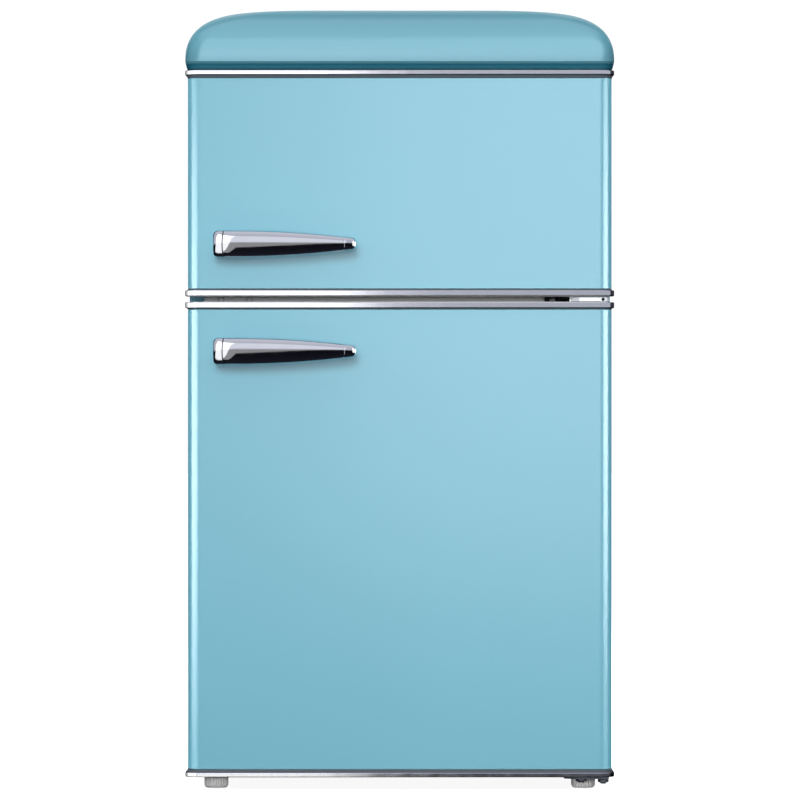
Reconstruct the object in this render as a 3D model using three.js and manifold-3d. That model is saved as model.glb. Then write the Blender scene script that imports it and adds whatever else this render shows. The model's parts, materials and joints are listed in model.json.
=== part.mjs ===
// A compact retro top-freezer refrigerator: two right-hinged doors under a domed cap.
// Millimetres, +Z up, front towards -Y. The origin is on the floor under the middle of the object.
import * as THREE from "three";
import { mergeVertices } from "three/addons/utils/BufferGeometryUtils.js";
import Module from "manifold-3d";

const wasm = await Module();
wasm.setup();

// ---------------------------------------------------------------- driving dimensions
const WIDTH = 482; // over the chrome door trims
const DEPTH = 530; // handle face to back panel
const HEIGHT = 882; // floor to the top of the dome
const GAP = 0.3; // left between pieces that touch
const SHEET = 1; // painted steel sheet

const TRIM_PROUD = 3; // how far a trim stands out of its door at the sides
const TRIM_FRONT = 2.5; // and at the front
const TRIM_H = 8.5;
const HANDLE_REACH = 32;
const DOOR_THICK = 52;
const GASKET = 9; // door back to cabinet front
const INSULATION = 39; // foam in the side walls
const LINER = 2;

const TRIM_HALF = WIDTH / 2;
const DOOR_HALF = TRIM_HALF - TRIM_PROUD;
const CABINET_HALF = DOOR_HALF - 0.5;
const DOOR_FRONT = -DEPTH / 2 + HANDLE_REACH;
const DOOR_BACK = DOOR_FRONT + DOOR_THICK;
const CABINET_FRONT = DOOR_BACK + GASKET;
const CABINET_BACK = DEPTH / 2;

const CABINET_BOTTOM = 16;
const DOOR_BOTTOM = 16.5;
const LOWER_DOOR_H = 533.5;
const DOOR_GAP = 5.5;
const UPPER_DOOR_H = 254;
const UPPER_DOOR_BOTTOM = DOOR_BOTTOM + LOWER_DOOR_H + DOOR_GAP;
const CABINET_TOP = UPPER_DOOR_BOTTOM + UPPER_DOOR_H + 0.7;
const CAP_BOTTOM = CABINET_TOP + GAP;
const CAP_CREASE = CAP_BOTTOM + 9;

const HINGE_X = 229;
const HINGE_Y = DOOR_FRONT + 26;
const PIN_R = 4;
const BORE_R = PIN_R + 0.4;

// the two compartments inside the liner
const ROOM_HALF = CABINET_HALF - SHEET - INSULATION;
const ROOM_BACK = CABINET_BACK - 47;
const FREEZER = { bottom: 575, top: 770 };
const FRESH = { bottom: 50, top: 528 };
const BAY = { front: 115, top: 200 }; // compressor bay behind and below
const STEP = { front: BAY.front - 37, top: BAY.top + 37 }; // its step inside the fresh-food room
const ROOM_R = 14;

const SHELF = { front: -118, back: ROOM_BACK - 12, thick: 4, half: ROOM_HALF - 3 };
const SHELF_LEVELS = { upper: 430, lower: 332 };
const CRISPER_COVER = STEP.top + GAP;
const RACK_LEVEL = 668;

const FOOT = { x: 208, y: -150, r: 13.75, h: 12, flutes: 24 };
const STUD_R = 4;
const RAIL = { front: 140, back: CABINET_BACK - 1, thick: 2.5, top: 26 }; // carries the compressor
const CORD = { x: -150, z: 42, hole: 9, bore: 4 }; // where the supply cord comes out
const COMPRESSOR = { x: 80, y: 190, r: 60, bottom: 34, height: 116 };

// ---------------------------------------------------------------- materials
const finish = (color, roughness, metalness = 0) =>
  new THREE.MeshStandardMaterial({ color, roughness, metalness });
const AQUA = finish(0x8fc5d6, 0.25);
const AQUA_CAP = finish(0x86bfd0, 0.2);
const CHROME = finish(0xd9dbe2, 0.08, 1);
const WHITE_ABS = finish(0xf1f3f2, 0.4);
const GREY_TRIM = finish(0x8c8e95, 0.45, 0.6);
const FOAM = finish(0xe9dcae, 0.95);
const RUBBER = finish(0xd8d8d4, 0.7);
const ZINC = finish(0xb4b8bd, 0.35, 0.9);
const WHITE_METAL = finish(0xe6ebf0, 0.4);
const GALVANISED = finish(0xa9adb0, 0.5, 0.8);
const BLACK_ENAMEL = finish(0x17181a, 0.35);
const BLACK_PLASTIC = finish(0x222326, 0.6);
const COPPER = finish(0xb8734a, 0.35, 1);
const ALUMINIUM = finish(0xc6c9cc, 0.4, 1);
const FOOT_GREY = finish(0xb5b3b4, 0.6);
const CLEAR = finish(0xdfeaee, 0.1);
const GLASS = finish(0xd8ece6, 0.05);

// ---------------------------------------------------------------- shape helpers
function toSolid(geometry) {
  const bare = geometry.index ? geometry.toNonIndexed() : geometry.clone();
  bare.deleteAttribute("normal");
  bare.deleteAttribute("uv");
  const merged = mergeVertices(bare, 1e-4);
  return new wasm.Manifold(
    new wasm.Mesh({
      numProp: 3,
      vertProperties: merged.attributes.position.array,
      triVerts: new Uint32Array(merged.index.array),
    }),
  );
}

function toGeometry(solid) {
  const mesh = solid.getMesh();
  const geometry = new THREE.BufferGeometry();
  geometry.setAttribute("position", new THREE.BufferAttribute(mesh.vertProperties, 3));
  geometry.setIndex(new THREE.BufferAttribute(mesh.triVerts, 1));
  geometry.computeVertexNormals();
  return geometry;
}

const join = (...parts) => toGeometry(parts.map(toSolid).reduce((a, b) => a.add(b)));
const cut = (body, ...tools) =>
  toGeometry(tools.map(toSolid).reduce((a, b) => a.subtract(b), toSolid(body)));

// A block between two corners.
const block = (x0, x1, y0, y1, z0, z1) =>
  new THREE.BoxGeometry(x1 - x0, y1 - y0, z1 - z0).translate(
    (x0 + x1) / 2,
    (y0 + y1) / 2,
    (z0 + z1) / 2,
  );

// A block centred on x = 0.
const slab = (half, y0, y1, z0, z1) => block(-half, half, y0, y1, z0, z1);

// A rectangle with round corners: radii for the lower and the upper pair.
function roundedRect(u0, u1, v0, v1, lower, upper = lower) {
  const s = new THREE.Shape();
  s.moveTo(u0 + lower, v0);
  s.lineTo(u1 - lower, v0);
  if (lower > 0) s.absarc(u1 - lower, v0 + lower, lower, -Math.PI / 2, 0);
  s.lineTo(u1, v1 - upper);
  if (upper > 0) s.absarc(u1 - upper, v1 - upper, upper, 0, Math.PI / 2);
  s.lineTo(u0 + upper, v1);
  if (upper > 0) s.absarc(u0 + upper, v1 - upper, upper, Math.PI / 2, Math.PI);
  s.lineTo(u0, v0 + lower);
  if (lower > 0) s.absarc(u0 + lower, v0 + lower, lower, Math.PI, 1.5 * Math.PI);
  return s;
}

const extrude = (shape, depth, curveSegments) =>
  new THREE.ExtrudeGeometry(shape, { depth, bevelEnabled: false, curveSegments });
// A plan outline (x, y) raised from z0 to z1.
const raise = (shape, z0, z1, segments = 6) =>
  extrude(shape, z1 - z0, segments).translate(0, 0, z0);
// A front outline (x, z) run from y0 back to y1.
const runBack = (shape, y0, y1, segments = 4) =>
  extrude(shape, y1 - y0, segments).rotateX(Math.PI / 2).translate(0, y1, 0);

// Front-view rounded block, centred on x = 0.
const room = (half, y0, y1, z0, z1, r) => runBack(roundedRect(-half, half, z0, z1, r), y0, y1);

const post = (r, x, y, z0, z1, sides = 24) =>
  new THREE.CylinderGeometry(r, r, z1 - z0, sides)
    .rotateX(Math.PI / 2)
    .translate(x, y, (z0 + z1) / 2);

// Six times the signed volume inside a skin: negative when its faces point inwards.
function volume(points, faces) {
  let sum = 0;
  for (let i = 0; i < faces.length; i += 3) {
    const [a, b, c] = [points[faces[i]], points[faces[i + 1]], points[faces[i + 2]]];
    sum += a.dot(b.clone().cross(c));
  }
  return sum;
}

// A solid skinned over rings of equally many points, closed by a fan at each end.
function loft(rings) {
  const n = rings[0].length;
  const points = rings.flat();
  const faces = [];
  for (let k = 0; k < rings.length - 1; k++)
    for (let i = 0; i < n; i++) {
      const a = k * n + i;
      const b = k * n + ((i + 1) % n);
      faces.push(a, b, b + n, a, b + n, a + n);
    }
  for (const [k, first] of [
    [0, true],
    [rings.length - 1, false],
  ]) {
    const centre = new THREE.Vector3();
    rings[k].forEach((p) => centre.add(p));
    points.push(centre.divideScalar(n));
    for (let i = 0; i < n; i++) {
      const a = k * n + i;
      const b = k * n + ((i + 1) % n);
      faces.push(points.length - 1, ...(first ? [b, a] : [a, b]));
    }
  }
  if (volume(points, faces) < 0) faces.reverse();
  const geometry = new THREE.BufferGeometry().setFromPoints(points);
  geometry.setIndex(faces);
  geometry.computeVertexNormals();
  return geometry;
}

// A tube of radius r with 8 sides along straight runs and round bends through the points.
function tube(points, r, bend, bendSteps = 4) {
  const path = new THREE.CurvePath();
  let from = points[0];
  for (let i = 1; i < points.length - 1; i++) {
    const before = points[i].clone().sub(points[i - 1]).setLength(bend);
    const after = points[i + 1].clone().sub(points[i]).setLength(bend);
    const start = points[i].clone().sub(before);
    const end = points[i].clone().add(after);
    path.add(new THREE.LineCurve3(from, start));
    path.add(new THREE.QuadraticBezierCurve3(start, points[i].clone(), end));
    from = end;
  }
  path.add(new THREE.LineCurve3(from, points[points.length - 1]));
  const stations = [];
  path.curves.forEach((c, k) => {
    const steps = c.isLineCurve3 ? 1 : bendSteps;
    for (let i = 0; i < steps; i++) stations.push([k, i / steps]);
  });
  stations.push([path.curves.length - 1, 1]);
  let side = null;
  const rings = stations.map(([k, t]) => {
    const at = path.curves[k].getPoint(t);
    const along = path.curves[k].getTangent(t);
    if (!side) {
      side = new THREE.Vector3(1, 0, 0);
      if (Math.abs(along.x) > 0.9) side.set(0, 1, 0);
    }
    side = side.clone().addScaledVector(along, -side.dot(along)).normalize();
    const up = new THREE.Vector3().crossVectors(along, side);
    return Array.from({ length: 8 }, (_, i) => {
      const a = (i / 8) * 2 * Math.PI;
      return at
        .clone()
        .addScaledVector(side, r * Math.cos(a))
        .addScaledVector(up, r * Math.sin(a));
    });
  });
  return loft(rings);
}

const V = (x, y, z) => new THREE.Vector3(x, y, z);

const refrigerator = new THREE.Group();
const cabinet = new THREE.Group();
refrigerator.add(cabinet);

function put(group, name, geometry, material, x = 0, y = 0, z = 0) {
  const mesh = new THREE.Mesh(geometry, material);
  mesh.name = name;
  mesh.position.set(x, y, z);
  group.add(mesh);
  return mesh;
}

// ---------------------------------------------------------------- cabinet shell
const FLANGE_INNER = ROOM_HALF + 9.5; // where the steel face flanges end
const flangeFace = (x0, x1, z0, z1) =>
  block(x0, x1, CABINET_FRONT, CABINET_FRONT + SHEET, z0, z1);

function sidePanel(side) {
  const outer = side * CABINET_HALF;
  const xs = [outer, outer - side * SHEET].sort((a, b) => a - b);
  const fs = [outer, side * FLANGE_INNER].sort((a, b) => a - b);
  return join(
    block(...xs, CABINET_FRONT, CABINET_BACK, CABINET_BOTTOM, CABINET_TOP),
    flangeFace(...fs, CABINET_BOTTOM, CABINET_TOP),
  );
}
put(cabinet, "side_panel_left", sidePanel(-1), AQUA);
put(cabinet, "side_panel_right", sidePanel(1), AQUA);

const INNER_HALF = CABINET_HALF - SHEET - GAP; // between the side panels
const FACE_HALF = FLANGE_INNER - GAP; // between the side flanges
put(
  cabinet,
  "top_panel",
  join(
    slab(INNER_HALF, CABINET_FRONT + SHEET + GAP, CABINET_BACK, CABINET_TOP - SHEET, CABINET_TOP),
    slab(FACE_HALF, CABINET_FRONT, CABINET_FRONT + 2, CABINET_TOP - SHEET, CABINET_TOP),
    slab(FACE_HALF, CABINET_FRONT, CABINET_FRONT + SHEET, FREEZER.top + 12, CABINET_TOP),
  ),
  AQUA,
);

put(
  cabinet,
  "back_panel",
  slab(
    INNER_HALF,
    CABINET_BACK - SHEET,
    CABINET_BACK,
    BAY.top,
    CABINET_TOP - SHEET - GAP,
  ),
  GALVANISED,
);
put(
  cabinet,
  "compressor_bay_panel",
  join(
    slab(INNER_HALF, BAY.front, CABINET_BACK - SHEET - GAP, BAY.top - SHEET, BAY.top),
    slab(INNER_HALF, BAY.front, BAY.front + SHEET, CABINET_BOTTOM, BAY.top),
  ),
  GALVANISED,
);

const studHole = (side, z0, z1) => post(STUD_R + 0.5, side * FOOT.x, FOOT.y, z0, z1);
const FOOT_PLATE = 3.3; // thickness of the plates that the front feet screw into
put(
  cabinet,
  "base_plate",
  cut(
    join(
      slab(INNER_HALF, CABINET_FRONT + SHEET + GAP, BAY.front - GAP, CABINET_BOTTOM, CABINET_BOTTOM + SHEET),
      slab(FACE_HALF, CABINET_FRONT, CABINET_FRONT + 2, CABINET_BOTTOM, CABINET_BOTTOM + SHEET),
      slab(FACE_HALF, CABINET_FRONT, CABINET_FRONT + SHEET, CABINET_BOTTOM, FRESH.bottom - 10),
      block(-INNER_HALF, -185, -165, -125, CABINET_BOTTOM + SHEET - FOOT_PLATE, CABINET_BOTTOM + SHEET),
    ),
    studHole(-1, 5, 30),
    studHole(1, 5, 30),
  ),
  ZINC,
);

// ---------------------------------------------------------------- liner and insulation
const OPEN_FRONT = CABINET_FRONT - 5;
const freezerRoom = (grow) =>
  room(ROOM_HALF + grow, OPEN_FRONT, ROOM_BACK + grow, FREEZER.bottom - grow, FREEZER.top + grow, ROOM_R);
// The fresh-food room is shallower below the step over the compressor bay.
const freshRoom = (grow) =>
  cut(
    room(ROOM_HALF + grow, OPEN_FRONT, ROOM_BACK + grow, FRESH.bottom - grow, FRESH.top + grow, ROOM_R),
    slab(ROOM_HALF + 20, STEP.front + grow, ROOM_BACK + 20, 0, STEP.top - grow),
  );

const LINER_FRONT = CABINET_FRONT + SHEET + GAP;
const RIB = { reach: 6, tall: 7, front: -150 };
const rib = (side, level, back) => {
  const xs = [side * (ROOM_HALF - RIB.reach), side * (ROOM_HALF + 1)].sort((a, b) => a - b);
  return block(...xs, RIB.front, back, level - GAP - RIB.tall, level - GAP);
};
const ribs = (side) => [
  rib(side, SHELF_LEVELS.upper, SHELF.back),
  rib(side, SHELF_LEVELS.lower, SHELF.back),
  rib(side, CRISPER_COVER, STEP.front - 5),
  rib(side, RACK_LEVEL, SHELF.back),
];
put(
  cabinet,
  "cabinet_liner",
  join(
    cut(
      join(
        slab(FACE_HALF + 8, LINER_FRONT, LINER_FRONT + LINER, FRESH.bottom - 10, FREEZER.top + 12),
        cut(freezerRoom(LINER), slab(400, -400, LINER_FRONT, 0, 900)),
        cut(freshRoom(LINER), slab(400, -400, LINER_FRONT, 0, 900)),
      ),
      freezerRoom(0),
      freshRoom(0),
    ),
    ...ribs(-1),
    ...ribs(1),
  ),
  WHITE_ABS,
);

const POCKET = { front: -120, back: 225, bottom: 232, top: 780, deep: 6.5 }; // round the condenser
put(
  cabinet,
  "cabinet_insulation",
  cut(
    slab(INNER_HALF, LINER_FRONT, CABINET_BACK - SHEET - GAP, CABINET_BOTTOM + SHEET + GAP, CABINET_TOP - SHEET - GAP),
    slab(400, BAY.front - GAP, 400, 0, BAY.top + GAP),
    slab(FACE_HALF + 8 + GAP, LINER_FRONT - 1, LINER_FRONT + LINER + GAP, FRESH.bottom - 10.3, FREEZER.top + 12.3),
    freezerRoom(LINER + GAP),
    freshRoom(LINER + GAP),
    block(-300, -INNER_HALF + POCKET.deep, POCKET.front, POCKET.back, POCKET.bottom, POCKET.top),
    slab(180, 200, ROOM_BACK + 10, FREEZER.bottom + 8, FREEZER.top - 8),
    post(STUD_R + 2, -FOOT.x, FOOT.y, 0, 46, 12),
    post(STUD_R + 2, FOOT.x, FOOT.y, 0, 46, 12),
  ),
  FOAM,
);

// ---------------------------------------------------------------- domed top cap
const CAP = {
  halfTop: TRIM_HALF,
  tuck: 2.6, // how far the lip turns in below the crease at the sides
  tuckFront: 6, // and at the front
  front: DOOR_FRONT - TRIM_FRONT,
  back: CABINET_BACK,
  shell: 3,
  rise: HEIGHT - CAP_CREASE,
  sideRun: 100, // how far in from the side the dome takes to level out
  frontRun: 110,
  backRun: 60,
  power: 2.45, // of the superellipse that the dome's edge follows
  plinth: 18, // corner radius in plan at the crease
  roundTop: 62, // and what it gains towards the top
};

// One closed loop of the cap, in plan: insets from the crease's outline, and its height.
function capRing(insetSide, insetFront, insetBack, cornerRadius, z, steps = 5) {
  const half = CAP.halfTop - insetSide;
  const front = CAP.front + insetFront;
  const back = CAP.back - insetBack;
  const corners = [
    [half - cornerRadius, front + cornerRadius, -Math.PI / 2],
    [half - cornerRadius, back - cornerRadius, 0],
    [cornerRadius - half, back - cornerRadius, Math.PI / 2],
    [cornerRadius - half, front + cornerRadius, Math.PI],
  ];
  return corners.flatMap(([cx, cy, start]) =>
    Array.from({ length: steps + 1 }, (_, i) => {
      const a = start + ((i / steps) * Math.PI) / 2;
      return V(cx + cornerRadius * Math.cos(a), cy + cornerRadius * Math.sin(a), z);
    }),
  );
}

// The dome above the crease: t runs from 0 at the crease to 1 at the level top.
function domeRing(t, thickness) {
  const angle = (t * Math.PI) / 2;
  const inset = 1 - Math.cos(angle) ** (2 / CAP.power);
  const lift = Math.sin(angle) ** (2 / CAP.power);
  return capRing(
    CAP.sideRun * inset + thickness,
    CAP.frontRun * inset + thickness,
    CAP.backRun * inset + thickness,
    CAP.plinth + CAP.roundTop * inset - thickness / 2,
    CAP_CREASE + (CAP.rise - thickness) * lift,
  );
}

function topCap() {
  const domeSteps = 8;
  const ts = Array.from({ length: domeSteps + 1 }, (_, i) => i / domeSteps);
  const { tuck, tuckFront } = CAP;
  const shell = loft([
    ...ts.map((t) => domeRing(t, CAP.shell)).reverse(),
    capRing(tuck + CAP.shell, tuckFront + CAP.shell, CAP.shell, CAP.plinth - 2, CAP_BOTTOM),
    capRing(tuck, tuckFront, 0, CAP.plinth - 1, CAP_BOTTOM),
    ...ts.map((t) => domeRing(t, 0)),
  ]);
  const webBottom = CAP_BOTTOM + 3.2; // clears the top hinge bracket
  const web = raise(
    roundedRect(-TRIM_HALF + 4.5, TRIM_HALF - 4.5, CAP.front + 4.5, CABINET_FRONT, 15, 0),
    webBottom,
    webBottom + 2,
    4,
  );
  return join(shell, web);
}
put(cabinet, "top_cap", topCap(), AQUA_CAP);

// ---------------------------------------------------------------- mullion and hinges
const SEAM = DOOR_BOTTOM + LOWER_DOOR_H + DOOR_GAP / 2; // middle of the gap between the doors
const STRIP = { half: 5, proud: 1.2, left: -221, right: 161 };
put(
  cabinet,
  "mullion_strip",
  join(
    slab(FACE_HALF, CABINET_FRONT, CABINET_FRONT + SHEET, FRESH.top + 1, FREEZER.bottom - 1),
    block(-200, STRIP.right, CABINET_FRONT - GAP - 0.2, CABINET_FRONT + 0.5, SEAM - STRIP.half, SEAM + STRIP.half),
    block(
      STRIP.left,
      STRIP.right,
      CABINET_FRONT - GAP - STRIP.proud,
      CABINET_FRONT - GAP,
      SEAM - STRIP.half,
      SEAM + STRIP.half,
    ),
  ),
  GREY_TRIM,
);

// A hinge leaf in plan, with a round end about the pin.
function leaf(x0, y1, pad = 6.5) {
  const s = new THREE.Shape();
  s.moveTo(x0, y1);
  s.lineTo(x0, HINGE_Y + 4);
  s.lineTo(x0 + 12, HINGE_Y - pad);
  s.lineTo(HINGE_X, HINGE_Y - pad);
  s.absarc(HINGE_X, HINGE_Y, pad, -Math.PI / 2, 0);
  s.lineTo(HINGE_X + pad, y1);
  return s;
}
const pin = (z0, z1) => post(PIN_R, HINGE_X, HINGE_Y, z0, z1);
const PIN_REACH = 17; // into a door

const topLeafZ = CAP_BOTTOM;
put(
  cabinet,
  "top_hinge_bracket",
  join(raise(leaf(190, -95, 5.5), topLeafZ, topLeafZ + 2.5), pin(topLeafZ - PIN_REACH, topLeafZ + 1)),
  ZINC,
);
const TONGUE = 1.5; // half thickness of the middle leaf
const plateFront = CABINET_FRONT - GAP - 2.4;
put(
  cabinet,
  "mid_hinge_bracket",
  join(
    block(STRIP.right + 1, 233, plateFront, CABINET_FRONT - GAP, SEAM - STRIP.half, SEAM + STRIP.half),
    raise(leaf(192, plateFront + 1), SEAM - TONGUE, SEAM + TONGUE),
    pin(SEAM - PIN_REACH, SEAM + PIN_REACH),
  ),
  WHITE_METAL,
);
const bottomLeafZ = CABINET_BOTTOM - GAP - 2.5;
put(
  cabinet,
  "bottom_hinge_bracket",
  cut(
    join(
      raise(leaf(185, -120), bottomLeafZ, bottomLeafZ + 2.5),
      pin(bottomLeafZ + 1, bottomLeafZ + 2 + PIN_REACH),
    ),
    studHole(1, 5, 30),
  ),
  ZINC,
);

// ---------------------------------------------------------------- inside fittings
const shelfPlate = (level, back, half = SHELF.half) =>
  raise(roundedRect(-half, half, SHELF.front, back, 6), level, level + SHELF.thick, 3);
put(cabinet, "glass_shelf_upper", shelfPlate(SHELF_LEVELS.upper, SHELF.back), GLASS);
put(cabinet, "glass_shelf_lower", shelfPlate(SHELF_LEVELS.lower, SHELF.back), GLASS);
put(cabinet, "crisper_cover_glass", shelfPlate(CRISPER_COVER, SHELF.back), GLASS);

const wire = (from, to, r, sides) => {
  const along = to.clone().sub(from);
  const turn = new THREE.Quaternion().setFromUnitVectors(V(0, 1, 0), along.clone().normalize());
  const middle = from.clone().add(to).divideScalar(2);
  return new THREE.CylinderGeometry(r, r, along.length(), sides)
    .applyQuaternion(turn)
    .translate(...middle.toArray());
};
function freezerRack() {
  const z = RACK_LEVEL + 2.5;
  const half = SHELF.half;
  const [front, back] = [SHELF.front + 4, SHELF.back];
  const parts = [
    wire(V(-half, front, z), V(half, front, z), 2.5, 8),
    wire(V(-half, back, z), V(half, back, z), 2.5, 8),
    wire(V(-half + 2.4, front, z), V(-half + 2.4, back, z), 2.5, 8),
    wire(V(half - 2.4, front, z), V(half - 2.4, back, z), 2.5, 8),
  ];
  const bars = 12;
  for (let i = 1; i < bars; i++) {
    const x = -half + (2 * half * i) / bars;
    parts.push(wire(V(x, front - 1, z + 2.2), V(x, back + 1, z + 2.2), 1.5, 5));
  }
  return join(...parts);
}
put(cabinet, "freezer_rack", freezerRack(), WHITE_METAL);

const THERMO = { inner: 163, front: -40, back: 110, bottom: 442, top: 512 };
put(
  cabinet,
  "thermostat_housing",
  raise(
    roundedRect(THERMO.inner, ROOM_HALF - GAP, THERMO.front, THERMO.back, 5),
    THERMO.bottom,
    THERMO.top,
    3,
  ),
  WHITE_ABS,
);
put(
  cabinet,
  "lamp_lens",
  raise(
    roundedRect(THERMO.inner + 4, ROOM_HALF - 5, THERMO.front - 12, THERMO.front - GAP, 7, 0.5),
    THERMO.bottom + 10,
    THERMO.top - 10,
    4,
  ),
  CLEAR,
);
const dial = new THREE.Group();
dial.position.set(THERMO.inner - GAP, 0, (THERMO.bottom + THERMO.top) / 2);
dial.rotation.y = -Math.PI / 2; // local +Z out of the housing, towards the room
refrigerator.add(dial);
put(
  dial,
  "thermostat_dial",
  join(
    new THREE.CylinderGeometry(15, 17, 5, 24).rotateX(Math.PI / 2).translate(0, 0, 2.5),
    block(-13, 13, -2.5, 2.5, 4, 10),
  ),
  WHITE_ABS,
);

const SWITCH = { x: 178, z: 494, front: CABINET_FRONT + 32, back: CABINET_FRONT + 62 };
const DIKE_REACH = 37; // how far a door's inner ridge stands behind the door
const dikeBack = DOOR_BACK + DIKE_REACH;
const PLUNGER = { wide: 4, tall: 7, length: 16, travel: 4 };
put(
  cabinet,
  "door_switch",
  cut(
    block(SWITCH.x - 8, ROOM_HALF - GAP, SWITCH.front, SWITCH.back, SWITCH.z - 14, SWITCH.z + 14),
    block(
      SWITCH.x - PLUNGER.wide - GAP,
      SWITCH.x + PLUNGER.wide + GAP,
      SWITCH.front - 1,
      dikeBack + PLUNGER.length + 2 * GAP,
      SWITCH.z - PLUNGER.tall - GAP,
      SWITCH.z + PLUNGER.tall + GAP,
    ),
  ),
  WHITE_ABS,
);
put(
  refrigerator,
  "door_switch_button",
  block(-PLUNGER.wide, PLUNGER.wide, 0, PLUNGER.length, -PLUNGER.tall, PLUNGER.tall),
  WHITE_ABS,
  SWITCH.x,
  dikeBack + GAP,
  SWITCH.z,
);

// ---------------------------------------------------------------- refrigeration circuit
put(
  cabinet,
  "compressor_rail",
  join(
    slab(INNER_HALF, RAIL.front, RAIL.back, RAIL.top - RAIL.thick, RAIL.top),
    slab(INNER_HALF, RAIL.front, RAIL.front + RAIL.thick, 15, RAIL.top),
    cut(
      slab(INNER_HALF, RAIL.back - RAIL.thick, RAIL.back, 15, 58),
      new THREE.CylinderGeometry(CORD.hole, CORD.hole, 20, 16).translate(CORD.x, RAIL.back, CORD.z),
    ),
  ),
  GALVANISED,
);
put(
  cabinet,
  "cord_grommet",
  new THREE.LatheGeometry(
    [
      [CORD.bore, -2.2],
      [CORD.hole - 0.4, -2.2],
      [CORD.hole - 0.4, 2.2],
      [CORD.bore, 2.2],
      [CORD.bore, -2.2],
    ].map(([r, h]) => new THREE.Vector2(r, h)),
    16,
  ),
  BLACK_PLASTIC,
  CORD.x,
  RAIL.back - RAIL.thick / 2,
  CORD.z,
);

function compressorShell() {
  const { r, height } = COMPRESSOR;
  const dome = 34;
  const profile = [new THREE.Vector2(0, 0), new THREE.Vector2(r - 12, 0), new THREE.Vector2(r - 2, 10)];
  profile.push(new THREE.Vector2(r - 2, 48), new THREE.Vector2(r, 50), new THREE.Vector2(r, 56));
  for (let i = 0; i <= 6; i++) {
    const a = ((i / 6) * Math.PI) / 2;
    profile.push(
      new THREE.Vector2((r - 2) * Math.cos(a) ** 0.7, height - dome + dome * Math.sin(a)),
    );
  }
  profile[profile.length - 1].x = 0;
  return new THREE.LatheGeometry(profile, 22).rotateX(Math.PI / 2);
}
const legs = [-1, 1].flatMap((sx) => [-1, 1].map((sy) => [sx, sy]));
put(
  cabinet,
  "compressor",
  join(
    compressorShell(),
    block(-72, 72, -36, 36, -1, 2),
    ...legs.map(([sx, sy]) => post(7, sx * 62, sy * 27, RAIL.top + GAP - COMPRESSOR.bottom, 1, 12)),
  ),
  BLACK_ENAMEL,
  COMPRESSOR.x,
  COMPRESSOR.y,
  COMPRESSOR.bottom,
);
const compressorLeft = COMPRESSOR.x - COMPRESSOR.r;
put(
  cabinet,
  "terminal_box",
  raise(
    roundedRect(compressorLeft - 42, compressorLeft - GAP, COMPRESSOR.y - 20, COMPRESSOR.y + 24, 5),
    72,
    128,
    3,
  ),
  BLACK_PLASTIC,
);
function dripTray() {
  const [half, depth, tall, wall] = [78, 52, 24, 2];
  const bottom = COMPRESSOR.bottom + COMPRESSOR.height + GAP;
  const outer = raise(roundedRect(-half, half, -depth, depth, 14), bottom, bottom + tall, 4);
  const inner = raise(
    roundedRect(-half + wall, half - wall, -depth + wall, depth - wall, 12),
    bottom + wall,
    bottom + tall + 1,
    4,
  );
  return cut(outer, inner);
}
put(cabinet, "drip_tray", dripTray(), BLACK_PLASTIC, COMPRESSOR.x, COMPRESSOR.y, 0);

const bayRoof = BAY.top - SHEET - GAP;
put(
  cabinet,
  "drain_spout",
  new THREE.LatheGeometry(
    [
      [4, 0],
      [6, 0],
      [7, 18],
      [13, 18],
      [13, 20],
      [5.5, 20],
      [4, 0],
    ].map(([r, h]) => new THREE.Vector2(r, h)),
    16,
  ).rotateX(Math.PI / 2),
  BLACK_PLASTIC,
  COMPRESSOR.x,
  COMPRESSOR.y,
  bayRoof - 20,
);
const nearShell = COMPRESSOR.x + COMPRESSOR.r + GAP;
put(
  cabinet,
  "suction_tube",
  tube(
    [
      V(nearShell, COMPRESSOR.y, 96),
      V(nearShell + 42, COMPRESSOR.y, 96),
      V(nearShell + 42, COMPRESSOR.y, 140),
      V(nearShell + 42, COMPRESSOR.y - 40, 140),
      V(nearShell + 42, COMPRESSOR.y - 40, bayRoof),
    ],
    3.2,
    14,
  ),
  COPPER,
);
put(
  cabinet,
  "discharge_tube",
  tube(
    [
      V(nearShell, COMPRESSOR.y, 70),
      V(nearShell + 22, COMPRESSOR.y, 70),
      V(nearShell + 22, COMPRESSOR.y - 56, 70),
      V(nearShell + 22, COMPRESSOR.y - 56, 155),
      V(nearShell + 70, COMPRESSOR.y - 56, 155),
      V(nearShell + 70, COMPRESSOR.y - 56, bayRoof),
    ],
    2.6,
    12,
  ),
  COPPER,
);
put(
  cabinet,
  "filter_drier",
  new THREE.LatheGeometry(
    [
      [0, 0],
      [2.2, 0],
      [2.2, 26],
      [9, 34],
      [9, 92],
      [2.2, 102],
      [2.2, bayRoof - 40],
      [0, bayRoof - 40],
    ].map(([r, h]) => new THREE.Vector2(r, h)),
    16,
  ).rotateX(Math.PI / 2),
  COPPER,
  -110,
  190,
  40,
);

// The condenser is taped inside the left wall, so that the side panel sheds the heat.
function condenserTube() {
  const x = -INNER_HALF + 3.2;
  const passes = 6;
  const pitch = (POCKET.back - POCKET.front - 40) / (passes - 1);
  const points = [V(x, POCKET.front + 20, POCKET.bottom + 12)];
  for (let i = 0; i < passes; i++) {
    const y = POCKET.front + 20 + i * pitch;
    const [low, high] = [POCKET.bottom + 12, POCKET.top - 12];
    const up = i % 2 === 0;
    if (i > 0) points.push(V(x, y, up ? low : high));
    points.push(V(x, y, up ? high : low));
  }
  return tube(points, 2.4, 14, 3);
}
put(cabinet, "condenser_tube", condenserTube(), COPPER);

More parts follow.
